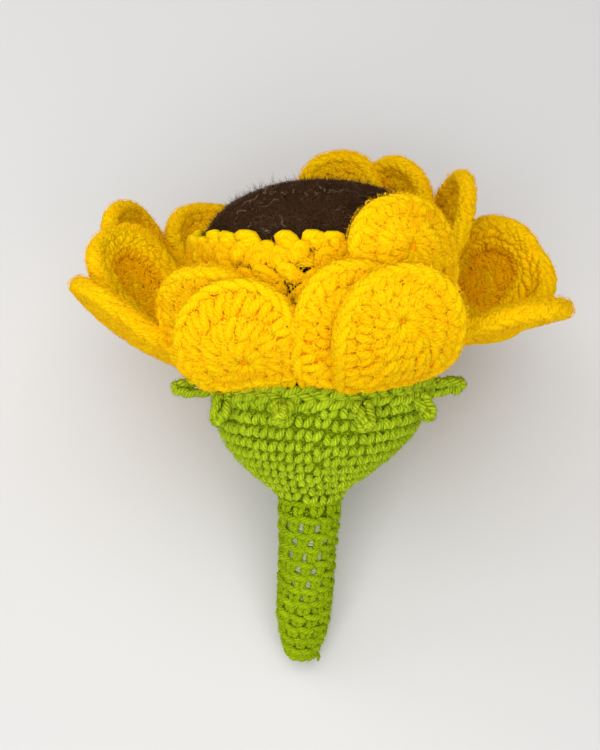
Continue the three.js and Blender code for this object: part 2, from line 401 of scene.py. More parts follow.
@dataclass(frozen=True)
class YarnFinish:
    """A soft spun yarn: twisted plies, fine fibres along them and a sheen from its fuzz.

    Attributes:
        name: the material's name.
        light: the yarn's colour on top of its plies, and the light end of its random tone.
        dark: painted shade between the plies, and the dark end of its random tone.
        sheen: how much of the light its fuzz catches.
        sheen_roughness: how far the fuzz spreads that light.
        ply_pitch: millimetres of yarn for one turn of its plies.
        plies: how many plies it has.
        ply_shade: how strongly shade is painted into the grooves between the plies.
        streak_shade: how far it follows the fine fibres.
        streak_along: fibres to a millimetre along the yarn.
        streak_around: fibres round it.
        streak_relief: how deep the fibres look beside the plies.
        drift_shade: how far the colour drifts from place to place.
        drift_scale: drifts to a metre.
        noise_detail: how fine the fibres and drifts are broken up.
        bump: how strong the relief of plies and fibres is.
        bump_depth: its depth in metres.
        roughness: how far the yarn itself spreads the light.
        specular: how much it mirrors.
        glow: how much of the light passes through it.
        glow_reach: how far red, green and blue light pass, in metres.
    """

    name: str
    light: tuple[float, float, float]
    dark: tuple[float, float, float]
    sheen: float = 0.25
    sheen_roughness: float = 0.5
    ply_pitch: float = 5.0
    plies: float = 4.0
    ply_shade: float = 0.22
    streak_shade: float = 1.2
    streak_along: float = 0.35
    streak_around: float = 14.0
    streak_relief: float = 4.0
    drift_shade: float = 0.7
    drift_scale: float = 150.0
    noise_detail: float = 2.0
    bump: float = 0.8
    bump_depth: float = 0.00025
    roughness: float = 0.85
    specular: float = 0.03
    glow: float = 0.0
    glow_reach: tuple[float, float, float] = (0.0020, 0.0012, 0.0003)

    def material(self) -> bpy.types.Material:
        """Builds the node material.

        Returns:
            The material, whose plies and fibres follow each strand and whose colour drifts,
            with shade painted between the plies.
        """
        made = Nodes(self.name)
        for socket, value in (
            ("Roughness", self.roughness),
            ("Specular IOR Level", self.specular),
            ("Sheen Weight", self.sheen),
            ("Sheen Roughness", self.sheen_roughness),
            ("Sheen Tint", (*self.light, 1)),
            ("Subsurface Weight", self.glow),
            ("Subsurface Radius", self.glow_reach),
            ("Subsurface Scale", 1.0),
        ):
            made.feed(made.shader.inputs[socket], value)
        place = made.add("UVMap")
        place.uv_map = "Yarn"
        axes = made.add("SeparateXYZ", Vector=place.outputs["UV"])
        along, around = axes.outputs["X"], axes.outputs["Y"]
        turned = made.math("ADD", made.math("MULTIPLY", along, 1 / self.ply_pitch), around)
        wave = made.math("SINE", made.math("MULTIPLY", turned, TURN * self.plies))
        lengthwise = made.add("CombineXYZ", X=made.math("MULTIPLY", along, self.streak_along),
                              Y=made.math("MULTIPLY", turned, self.streak_around))
        streak = made.add("TexNoise", Vector=lengthwise.outputs["Vector"], Scale=1.0,
                          Detail=self.noise_detail)
        where = made.add("TexCoord")
        drift = made.add("TexNoise", Vector=where.outputs["Object"], Scale=self.drift_scale,
                         Detail=self.noise_detail)
        # The ply wave paints shade into the grooves between plies; the streaks and the drift add random
        # tone
        shade = made.math("MULTIPLY", wave, self.ply_shade)
        for source, weight in ((streak, self.streak_shade), (drift, self.drift_shade)):
            centred = made.math("SUBTRACT", source.outputs["Fac"], 0.5)
            shade = made.math("ADD", shade, made.math("MULTIPLY", centred, weight))
        blend = made.add("Mix")
        blend.data_type = "RGBA"
        made.feed(blend.inputs["Factor"], made.math("ADD", shade, 0.5))
        made.feed(blend.inputs[MIX_LOW], (*self.dark, 1))
        made.feed(blend.inputs[MIX_HIGH], (*self.light, 1))
        made.feed(made.shader.inputs["Base Color"], blend.outputs[MIX_RESULT])
        relief = made.math("MULTIPLY", streak.outputs["Fac"], self.streak_relief)
        bump = made.add("Bump", Height=made.math("ADD", wave, relief), Strength=self.bump,
                        Distance=self.bump_depth)
        made.feed(made.shader.inputs["Normal"], bump.outputs["Normal"])
        return made.material


YELLOW = YarnFinish("yellow_yarn_stitches", (1.0, 0.66, 0.001), (0.97, 0.47, 0.0), sheen=0.2,
                    glow=0.3, streak_shade=0.65, bump=0.55)
# The petals' inner sheet, a darker orange that is painted shade in the gaps between stitches
YELLOW_CORE_PAINTED_SHADE = YarnFinish("yellow_inside_painted_shade", (0.95, 0.43, 0.0), (0.86, 0.34, 0.0), sheen=0.0)
# Fuzz a little lighter than the stitches' yarn: painted light that makes up for the thin slivers' dark
# shading
YELLOW_FUZZ = YarnFinish("yellow_yarn_fuzz", (1.0, 0.69, 0.006), (0.98, 0.48, 0.0), sheen=0.1,
                         bump=0.0)
# The hollow side of a rolled petal, a deeper orange than its stitches: painted shade and bounce light
# inside the cup
PAINTED_CUP_SHADE = YarnFinish("yellow_yarn_cup_painted_shade", (1.0, 0.56, 0.001), (1.0, 0.41, 0.0), sheen=0.5, glow=0.35,
                  streak_shade=0.7)
# The cup's fuzz is lighter than its stitches: painted light that makes up for the thin slivers' dark
# shading
PAINTED_CUP_SHADE_FUZZ = YarnFinish("yellow_yarn_cup_fuzz", (1.0, 0.62, 0.002), (1.0, 0.44, 0.0), sheen=0.4,
                       bump=0.0)
# Green yarn whose light end is a painted highlight, the sheen on the tops of plump stitches
GREEN = YarnFinish("green_yarn_stitches", (0.66, 0.83, 0.03), (0.23, 0.36, 0.001), sheen=0.15,
                   glow=0.08)
# A darker copy of the green for the stem: painted shade for the light that falls off towards it
STEM_GREEN_PAINTED_SHADE = replace(GREEN, name="green_yarn_stem_painted_shade", light=(0.44, 0.59, 0.006), dark=(0.19, 0.30, 0.001))
# The stem's and the bowl's inner skins, a dark green that is painted shade in the gaps between stitches
GREEN_CORE_PAINTED_SHADE = YarnFinish("green_inside_painted_shade", (0.17, 0.25, 0.001), (0.12, 0.18, 0.001), sheen=0.0)
GREEN_FUZZ = YarnFinish("green_yarn_fuzz", (0.52, 0.68, 0.02), (0.28, 0.42, 0.004), sheen=0.1,
                        bump=0.0)
BROWN = YarnFinish("brown_yarn_ball", (0.036, 0.016, 0.006), (0.016, 0.007, 0.003), sheen=0.1)
BROWN_FUZZ = YarnFinish("brown_yarn_felt", (0.112, 0.054, 0.024), (0.015, 0.007, 0.003), sheen=0.1,
                        bump=0.0)
BROWN_CURL = YarnFinish("brown_yarn_curls", (0.19, 0.12, 0.08), (0.08, 0.045, 0.028), sheen=0.0,
                        bump=0.0)
PALE_HAIR = YarnFinish("pale_hair", (0.40, 0.31, 0.21), (0.20, 0.14, 0.09), sheen=0.0, bump=0.0)
# The white filling, greyed and tinted green as painted shade and green bounce light deep in the stem's
# gaps
STUFFING_WITH_PAINTED_SHADE = YarnFinish("stuffing_with_painted_shade", (0.60, 0.68, 0.44), (0.42, 0.52, 0.26), sheen=0.1)


@dataclass(frozen=True)
class StitchShape:
    """A crochet stitch as it shows on a fabric: two legs that open in a V, a bar or a puff.

    Attributes:
        radius: the strand's radius.
        height: how far off the surface its middle lies.
        open_foot: how far apart the legs stand at their foot, as a share of the stitch's width.
        open_top: how far apart they stand at their top, as a share of it.
        opening: how evenly they open, 1 for a straight V.
        rise: how much of the row's height they take.
        sink: how far their ends sink below their middle.
        steps: points along a strand.
        uneven: how uneven the stitches are, 1 for usual.
        slim: radius at a strand's ends, as a share of that at its middle.
        flat: thickness of a strand as a share of its width.
        leg_bow: how soon a leg comes up from its ends, less for sooner.
        bar_bow: the same for a bar.
        puff_bow: the same for a puff.
        puff_tilt: how far puffs lean at random, as a share of their width.
        puff_size: how much their size differs.
        filling: how much thicker than a puff's own strand the one that fills it is.
        filling_rise: how much of a puff's height that strand takes.
        filling_foot: how far below the puff's middle it starts, as a share of that height.
        stray_across: how far strands lie off across the row, as a share of a stitch.
        stray_along: how far they lie off along it, as a share of the row's height.
        stray_lift: how far they lie off up or down, in millimetres.
        stray_radius: how much their radii differ.
    """

    radius: float = 1.4
    height: float = 0.0
    open_foot: float = 0.12
    open_top: float = 0.34
    opening: float = 0.8
    rise: float = 0.8
    sink: float = 1.0
    steps: int = 5
    uneven: float = 1.0
    slim: float = 0.8
    flat: float = 0.92
    leg_bow: float = 0.8
    bar_bow: float = 0.7
    puff_bow: float = 0.6
    puff_tilt: float = 0.2
    puff_size: float = 0.14
    filling: float = 1.15
    filling_rise: float = 0.8
    filling_foot: float = 0.55
    stray_across: float = 0.03
    stray_along: float = 0.04
    stray_lift: float = 0.12
    stray_radius: float = 0.05

    def legs(self, parts: MeshParts, surface: Surface, u: Array, v: Measure, du: Measure,
             dv: Measure, side: Side, rng: np.random.Generator, lean: float = 0.0) -> None:
        """Lays one V for each place.

        Args:
            parts: what the legs are added to.
            surface: what they lie on.
            u: places round the surface.
            v: places along it, at the middle of each row.
            du: a stitch's width, in u.
            dv: a row's height, in v.
            side: the face that the row lies on.
            rng: the seeded source of unevenness.
            lean: how far the stitch leans over its row, as a share of its width.
        """
        s = np.linspace(0, 1, self.steps)[None, :]
        bow = np.sin(math.pi * s) ** self.leg_bow
        for hand in (-1.0, 1.0):
            loose = rng.normal(size=(4, len(u), 1)) * self.uneven
            across = hand * (self.open_foot + (self.open_top - self.open_foot) * s ** self.opening)
            across = across + lean * (s - 0.5) + loose[0] * self.stray_across
            along = self.rise * (s - 0.5) + loose[1] * self.stray_along
            self._lay(parts, surface, (u, v, du, dv), (across, along), (bow, loose), side)

    def bars(self, parts: MeshParts, surface: Surface, u: Array, v: Measure, du: Measure,
             dv: Measure, side: Side, rng: np.random.Generator, slant: float, reach: float) -> None:
        """Lays one short bar along the row for each place, as the back of a stitch shows.

        Args:
            parts: what the bars are added to.
            surface: what they lie on.
            u: places round the surface.
            v: places along it.
            du: a stitch's width, in u.
            dv: a row's height, in v.
            side: the face that the row lies on.
            rng: the seeded source of unevenness.
            slant: how far a bar climbs over its length, as a share of the row.
            reach: its length, as a share of the stitch's width.
        """
        s = np.linspace(0, 1, self.steps)[None, :]
        bow = np.sin(math.pi * s) ** self.bar_bow
        loose = rng.normal(size=(4, len(u), 1)) * self.uneven
        across = (s - 0.5) * reach + loose[0] * self.stray_across
        along = slant * (s - 0.5) + loose[1] * self.stray_along
        self._lay(parts, surface, (u, v, du, dv), (across, along), (bow, loose), side)

    def puffs(self, parts: MeshParts, surface: Surface, u: Array, v: Measure, du: Measure,
              dv: Measure, rng: np.random.Generator, lean: float) -> None:
        """Lays one puff for each place: a fat strand that arches over, with another that fills it.

        Args:
            parts: what the puffs are added to.
            surface: what they lie on.
            u: places round the surface.
            v: places along it.
            du: a puff's width, in u.
            dv: its height, in v.
            rng: the seeded source of unevenness.
            lean: how far its top lies to the side, as a share of its width.
        """
        s = np.linspace(0, 1, self.steps)[None, :]
        bow = np.sin(math.pi * s) ** self.puff_bow
        tilt = lean + rng.normal(size=(len(u), 1)) * self.puff_tilt
        size = 1 + rng.uniform(-self.puff_size, self.puff_size, (len(u), 1))
        loose = rng.normal(size=(4, len(u), 1)) * self.uneven
        arch = -np.cos(math.pi * s) * self.open_top * size + tilt * (bow - 0.5)
        over = self.rise * size * (bow - 0.5)
        self._lay(parts, surface, (u, v, du, dv), (arch, over), (bow, loose), Side.OUTER)
        loose = rng.normal(size=(4, len(u), 1)) * self.uneven
        arch = tilt * (s - 0.5) + self.open_foot * loose[0]
        over = self.rise * size * (self.filling_rise * s - self.filling_foot)
        fat = self.filling * bow
        self._lay(parts, surface, (u, v, du, dv), (arch, over), (fat, loose), Side.OUTER)

    def _lay(self, parts: MeshParts, surface: Surface, place: tuple[Array, Measure, Measure, Measure],
             offset: tuple[Array, Array], body: tuple[Array, Array], side: Side) -> None:
        """Adds the strands of one hand of a row.

        Args:
            parts: what they are added to.
            surface: what they lie on.
            place: the stitches' u, v, width and height, each for all or one by one.
            offset: the strand's run across and along its stitch, as shares of it.
            body: how it bows out along its run, and its four kinds of unevenness.
            side: the face that it lies on.
        """
        u, v, du, dv = (np.broadcast_to(part, len(place[0]))[:, None] for part in place)
        bow, loose = body
        lift = side.value * (self.height + (bow - 1) * self.sink + loose[2] * self.stray_lift)
        paths = surface.at(u + offset[0] * du, v + offset[1] * dv, lift)
        radii = self.radius * (self.slim + (1 - self.slim) * bow) * (1 + self.stray_radius * loose[3])
        strands(parts, paths, np.broadcast_to(radii, paths.shape[:2]), flat=self.flat)


def unit(vectors: Array) -> Array:
    """Gives vectors the length one."""
    return vectors / np.maximum(np.linalg.norm(vectors, axis=-1, keepdims=True), TINY)


def outward(surface: Surface, u: Array, v: Array, lift: Array) -> tuple[Array, Array]:
    """Gives places off a surface, and the way out of its face there.

    Args:
        surface: what the places lie on.
        u: the places round it.
        v: the places along it.
        lift: how far off it they lie, with the sign of the face.

    Returns:
        The points, and the steps from them to one millimetre further out.
    """
    here = surface.at(u, v, lift)
    return here, surface.at(u, v, lift + np.where(lift < 0, -1.0, 1.0)) - here


@dataclass(frozen=True)
class Halo:
    """Loose fibres that stand off a surface.

    Attributes:
        count: how many there are.
        lift: how far off the surface they start.
        length: the scale of their lengths.
        spread: the least and the greatest length, as shares of that.
        width: their width.
        stand: how upright they are.
        stray: how far they lean at random.
        bend: how far they bend at random.
    """

    count: int
    lift: float
    length: float = 0.5
    spread: tuple[float, float] = (0.5, 3.0)
    width: float = 0.07
    stand: float = 0.6
    stray: float = 0.55
    bend: float = 0.3

    def lay(self, parts: MeshParts, surface: Surface, u: Array, v: Array, lift: Array,
            rng: np.random.Generator) -> None:
        """Adds the fibres.

        Args:
            parts: what they are added to.
            surface: what they grow on.
            u: their places round the surface.
            v: their places along it.
            lift: how far off the surface they start, with the sign of the face.
            rng: the seeded source of their unevenness.
        """
        roots, out = outward(surface, u, v, lift)
        ways = out * self.stand + rng.normal(size=roots.shape) * self.stray
        reach = (self.length * rng.uniform(*self.spread, len(roots)))[:, None]
        middles = roots + (ways + rng.normal(size=roots.shape) * self.bend) * reach / 2
        fibres(parts, roots, middles, roots + ways * reach, self.width, rng)


@dataclass(frozen=True)
class Nap:
    """Fibres that lie over a surface and bridge the gaps between its stitches.

    Attributes:
        count: how many there are.
        lift: how far off the surface they lie.
        reach: their greatest length.
        shortest: the least length, as a share of the greatest.
        width: their width.
        raised: how far their middles stand out at the most.
        lowered: how far they lie in at the most.
        ends_lowered: how far their ends lie in.
        bend: how far they bend at random, as a share of their length.
        feeler: the step round the surface that finds the way along it.
    """

    count: int
    lift: float = 0.0
    reach: float = 3.0
    shortest: float = 0.35
    width: float = 0.13
    raised: float = 0.35
    lowered: float = 0.1
    ends_lowered: float = 0.2
    bend: float = 0.35
    feeler: float = 0.01

    def lay(self, parts: MeshParts, surface: Surface, u: Array, v: Array, lift: Array,
            rng: np.random.Generator) -> None:
        """Adds the fibres.

        Args:
            parts: what they are added to.
            surface: what they lie on.
            u: their places round the surface.
            v: their places along it.
            lift: how far off the surface they lie, with the sign of the face.
            rng: the seeded source of their unevenness.
        """
        n = len(u)
        here, out = outward(surface, u, v, lift)
        out = unit(out)
        flat = unit(surface.at(u + self.feeler, v, lift) - here)
        aside = unit(np.cross(out, flat))
        angle = rng.uniform(0, TURN, (n, 1))
        way = flat * np.cos(angle) + aside * np.sin(angle)
        off = aside * np.cos(angle) - flat * np.sin(angle)
        half = rng.uniform(self.shortest, 1.0, (n, 1)) * self.reach / 2
        bend = off * rng.normal(size=(n, 1)) * half * self.bend
        low = out * self.ends_lowered
        middles = here + bend + out * rng.uniform(-self.lowered, self.raised, (n, 1))
        fibres(parts, here - way * half - low, middles, here + way * half - low, self.width, rng, out)


def finish_piece(piece: bpy.types.Object, slot: Yarn, *nodes: str) -> bpy.types.Object:
    """Hangs a piece on the body and hides the solids that it stands for.

    Args:
        piece: the new piece.
        slot: the record's material slot; not used.
        nodes: the solids that it replaces.

    Returns:
        The same piece.
    """
    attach(piece, BODY)
    if nodes:
        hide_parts(*nodes)
    log.info("%s: %d faces", piece.name, len(piece.data.polygons))
    return piece


@dataclass
class MiddleLine:
    """The line that the stem and the bowl are built round: a sideways shift and a droop."""

    neck_z: float = -35.0
    stem_length: float = 56.0
    droop: float = 13.53
    droop_start: float = -38.0
    droop_power: float = 1.35
    neck_shift: float = -3.4
    shift_from: float = -2.0
    shift_to: float = -30.0
    foot_shift: float = -2.6

    def at(self, z: Array) -> Array:
        """Gives points of the line.

        Args:
            z: their heights along the flower's axis.

        Returns:
            The points.
        """
        t = np.clip((self.shift_from - z) / (self.shift_from - self.shift_to), 0, 1)
        whole = self.droop_start - self.neck_z + self.stem_length
        down = np.maximum(0, (self.droop_start - z) / whole)
        x = self.neck_shift * t * t * (3 - 2 * t) + self.foot_shift * down
        return np.stack([x, self.droop * down ** self.droop_power, z + 0 * t], axis=-1)

    def shift(self, points: Array) -> Array:
        """Shifts points sideways with the line, and keeps them level."""
        level = np.maximum(points[..., 2], self.droop_start)
        return points + self.at(level) - np.stack([0 * level, 0 * level, level], axis=-1)

    def carry(self, points: Array) -> Array:
        """Carries points that stand round the Z axis onto the line, square to it.

        Args:
            points: the points.

        Returns:
            The same points round the line.
        """
        z = points[..., 2]
        forward = self.at(z + 0.5) - self.at(z - 0.5)
        forward /= np.linalg.norm(forward, axis=-1, keepdims=True)
        right = np.array([1.0, 0, 0]) - forward * forward[..., :1]
        right /= np.linalg.norm(right, axis=-1, keepdims=True)
        back = np.cross(forward, right)
        return self.at(z) + right * points[..., :1] + back * points[..., 1:2]


class TurnedSurface:
    """A surface of revolution that is measured along its profile, with its outside as the face."""

    SPAN_STEPS: int = 12
    LEAST_RADIUS: float = 0.01

    def __init__(self, profile: Sequence[tuple[float, float]],
                 carry: Optional[Callable[[Array], Array]] = None) -> None:
        """Rounds a profile off and measures it.

        Args:
            profile: radius and height pairs from the bottom up.
            carry: what moves the finished points, where they don't stand round the axis.
        """
        knots = np.array(profile, float)
        padded = np.concatenate([[2 * knots[0] - knots[1]], knots, [2 * knots[-1] - knots[-2]]])
        t = np.linspace(0, 1, self.SPAN_STEPS + 1)[:-1, None]
        spans = []
        for a, b, c, d in zip(padded, padded[1:], padded[2:], padded[3:]):
            spans.append(0.5 * (2 * b + (c - a) * t + (2 * a - 5 * b + 4 * c - d) * t ** 2
                                + (3 * b - 3 * c + d - a) * t ** 3))
        self.curve = np.concatenate(spans + [knots[-1:]])
        self.curve[:, 0] = np.maximum(self.curve[:, 0], self.LEAST_RADIUS)
        steps = np.linalg.norm(np.diff(self.curve, axis=0), axis=1)
        self.run = np.concatenate([[0], np.cumsum(steps)])
        self.length = float(self.run[-1])
        slope = np.gradient(self.curve, axis=0)
        slope /= np.linalg.norm(slope, axis=1, keepdims=True)
        self.normal = np.stack([slope[:, 1], -slope[:, 0]], axis=1)
        self.carry = carry

    def radius_at(self, v: float) -> float:
        """Gives the radius at a length v along the profile."""
        return float(np.interp(v, self.run, self.curve[:, 0]))

    def at(self, u: Array, v: Array, lift: Array) -> Array:
        """Gives points on the surface or off it.

        Args:
            u: their azimuths, in radians.
            v: their lengths along the profile.
            lift: how far off the surface they lie.

        Returns:
            Positions in the flower's frame.
        """
        columns = (*self.curve.T, *self.normal.T)
        radius, z, outward_radius, outward_z = (np.interp(v, self.run, column) for column in columns)
        radius, z = radius + lift * outward_radius, z + lift * outward_z
        u, z = u + 0 * radius, z + 0 * u
        points = np.stack([radius * np.sin(u), -radius * np.cos(u), z], axis=-1)
        return self.carry(points) if self.carry else points

    def skin(self, parts: MeshParts, rows: int, cols: int, swell: float = 0.0,
             round_height: float = 4.4, around: int = 34) -> None:
        """Adds the surface itself as a closed skin under the stitches.

        Args:
            parts: what it is added to.
            rows: how finely it is divided along its length.
            cols: how finely it is divided round.
            swell: how far its rounds and stitches stand out.
            round_height: the height of a round.
            around: stitches in a round.
        """
        v = np.linspace(0, self.length, rows)[:, None] + np.zeros((1, cols))
        u = np.linspace(0, TURN, cols, endpoint=False)[None, :] + np.zeros((rows, 1))
        wavy = np.sin(v * TURN / round_height) + 0.5 * np.sin(around * u + 2 * np.sin(v))
        grid = self.at(u, v, swell * wavy)
        ends = [np.repeat(grid[row].mean(axis=0)[None, None], cols, axis=1) for row in (0, -1)]
        sheet(parts, np.concatenate([ends[0], grid, ends[1]]))


@dataclass(frozen=True)
class StemFoot:
    """The foot of the stem: drawn in by strands like spokes, with cut ends of the yarn beside it.

    Attributes:
        spoke_inner: how near the middle the spokes end, as a share of their way.
        edge_place: how far along the tube the stitches round the spokes lie.
        end_fall: the way from the start of a cut end to its tip.
        end_sway: how far it strays on each step.
    """

    spokes: int = 12
    spoke_start: float = 0.6
    spoke_lift: float = 0.2
    spoke_inner: float = 0.1
    spoke_steps: int = 6
    spoke_radius: float = 1.15
    edge: StitchShape = StitchShape(radius=1.2, height=0.1, sink=0.3)
    edge_place: float = 0.8
    edge_height: float = 2.0
    edge_slant: float = 0.3
    edge_reach: float = 1.2
    end_azimuths: tuple[float, ...] = (62.0, 78.0, 96.0)
    end_start: float = 2.0
    end_fall: tuple[float, float, float] = (0.8, -1.2, -2.4)
    end_sway: float = 0.3
    end_steps: int = 7
    end_radius: float = 0.5

    def build(self, parts: MeshParts, tube: TurnedSurface, rng: np.random.Generator) -> None:
        """Adds the spokes, the edge round them and the cut ends.

        Args:
            parts: what they are added to.
            tube: the stem's surface.
            rng: the seeded source of unevenness.
        """
        around = self.spokes
        turn = np.arange(around) / around * TURN
        start, lift = np.full(around, self.spoke_start), np.full(around, self.spoke_lift)
        rim = tube.at(turn, start, lift)[:, None]
        heart = rim.mean(axis=0)
        reach = np.linspace(1.0, self.spoke_inner, self.spoke_steps)[None, :, None]
        paths = heart + (rim - heart) * reach
        strands(parts, paths, np.full(paths.shape[:2], self.spoke_radius))
        self.edge.bars(parts, tube, turn, self.edge_place, TURN / around, self.edge_height,
                       Side.OUTER, rng, self.edge_slant, self.edge_reach)
        ends, steps = len(self.end_azimuths), self.end_steps
        azimuths = np.radians(self.end_azimuths)
        starts = tube.at(azimuths, np.full(ends, self.end_start), np.zeros(ends))
        sway = np.cumsum(rng.normal(size=(ends, steps, 3)) * self.end_sway, axis=1)
        fall = np.linspace(0, 1, steps)[None, :, None] * np.array(self.end_fall)
        strands(parts, starts[:, None] + fall + sway, np.full((ends, steps), self.end_radius))


@dataclass
class Stem:
    """The stuffed tube of about ten stitches round, whose gaps show the white filling.

    Attributes:
        loose_from: where its stitches start to be drawn apart, as a share of its length.
        loose_to: where that ends.
        lean: how far each round is turned on from the one below, in stitches.
        stitch_lean: how far a stitch leans, as a share of that.
        post: a stitch that is drawn apart.
        closed: a stitch that is not.
        ridge: the bar between two rounds.
        foot_knots: knots of the profile that the lower skin takes.
        neck_knot: the knot that the upper skin starts at.
    """

    line: MiddleLine
    radius: float = 9.2
    neck_radius: float = 10.2
    foot_radius: float = 6.0
    stitches: int = 10
    loose_from: float = 0.44
    loose_to: float = 0.9
    row_height: float = 4.65
    lean: float = 0.35
    stitch_lean: float = 0.4
    post: StitchShape = StitchShape(radius=1.1, height=-0.4, open_foot=0.08, open_top=0.18,
                                    rise=0.95, sink=0.4)
    closed: StitchShape = StitchShape(radius=1.1, height=-0.3, open_foot=0.1, open_top=0.3,
                                      rise=0.7, sink=0.6, slim=0.7)
    ridge: StitchShape = StitchShape(radius=1.15, height=0.45, sink=0.9)
    ridge_slant: float = -0.2
    ridge_reach: float = 1.15
    sunk: float = 0.1
    filling_inset: float = 2.3
    skin_inset: float = 2.0
    foot_knots: int = 5
    neck_knot: int = 8
    fuzz: tuple[Nap, Halo] = (Nap(count=5200, lift=0.9, reach=1.5), Halo(count=5200, lift=0.9))
    foot: StemFoot = StemFoot()

    def surface(self, inset: float, first: int = 0, last: Optional[int] = None) -> TurnedSurface:
        """Gives the tube's surface, whole or between two knots of its profile.

        Args:
            inset: how far inside the stem's outside it lies.
            first: the knot that it starts at.
            last: the knot that it ends before, or None for all the rest.

        Returns:
            The surface, carried along the middle line.
        """
        foot = self.line.neck_z - self.line.stem_length
        profile = [
            (self.foot_radius, foot), (self.foot_radius + 0.9, foot + 4),
            (self.radius - 1.1, foot + 9), (self.radius - 0.3, foot + 14),
            (self.radius + 0.1, foot + 22), (self.radius, foot + 30),
            (self.radius + 0.1, foot + 38), (self.neck_radius - 0.4, foot + 46),
            (self.neck_radius, foot + 52), (self.neck_radius, self.line.neck_z),
        ]
        inner = [(radius - inset, z) for radius, z in profile[first:last]]
        return TurnedSurface(inner, self.line.carry)

    def build(self, rng: np.random.Generator) -> None:
        """Builds the filling, the skins, dark with painted shade, the stitches with the foot, and the
        fuzz.

        Args:
            rng: the seeded source of unevenness.
        """
        filling = MeshParts()
        self.surface(self.filling_inset).skin(filling, rows=60, cols=48, swell=0.15, round_height=3.1,
                                              around=7)
        finish_piece(filling.build("stem_stuffing", STUFFING_WITH_PAINTED_SHADE.material()), Yarn.GREEN)
        inside = MeshParts()
        self.surface(self.skin_inset, 0, self.foot_knots).skin(inside, rows=30, cols=48)
        self.surface(self.skin_inset, self.neck_knot).skin(inside, rows=20, cols=48)
        finish_piece(inside.build("stem_inside", GREEN_CORE_PAINTED_SHADE.material()), Yarn.GREEN)
        parts = MeshParts()
        tube = self.surface(self.closed.radius + self.sunk)
        rows = int(tube.length / self.row_height)
        width, height = TURN / self.stitches, tube.length / rows
        for row in range(rows):
            u = (np.arange(self.stitches) + 0.5 + row * self.lean) / self.stitches * TURN
            v = (row + 0.5) * height
            loose = self.loose_from < row / rows < self.loose_to
            shape = self.post if loose else self.closed
            shape.legs(parts, tube, u, v, width, height, Side.OUTER, rng,
                       self.lean * self.stitch_lean)
            self.ridge.bars(parts, tube, u, v + height * 0.5, width, height, Side.OUTER, rng,
                            self.ridge_slant, self.ridge_reach)
        self.foot.build(parts, tube, rng)
        finish_piece(parts.build("stem_stitches", STEM_GREEN_PAINTED_SHADE.material()), Yarn.GREEN, "stem")
        fuzz = MeshParts()
        for kind in self.fuzz:
            u, v = rng.uniform(0, TURN, kind.count), rng.uniform(1, tube.length, kind.count)
            kind.lay(fuzz, tube, u, v, np.full(kind.count, kind.lift), rng)
        finish_piece(fuzz.build("stem_fuzz", GREEN_FUZZ.material()), Yarn.GREEN)


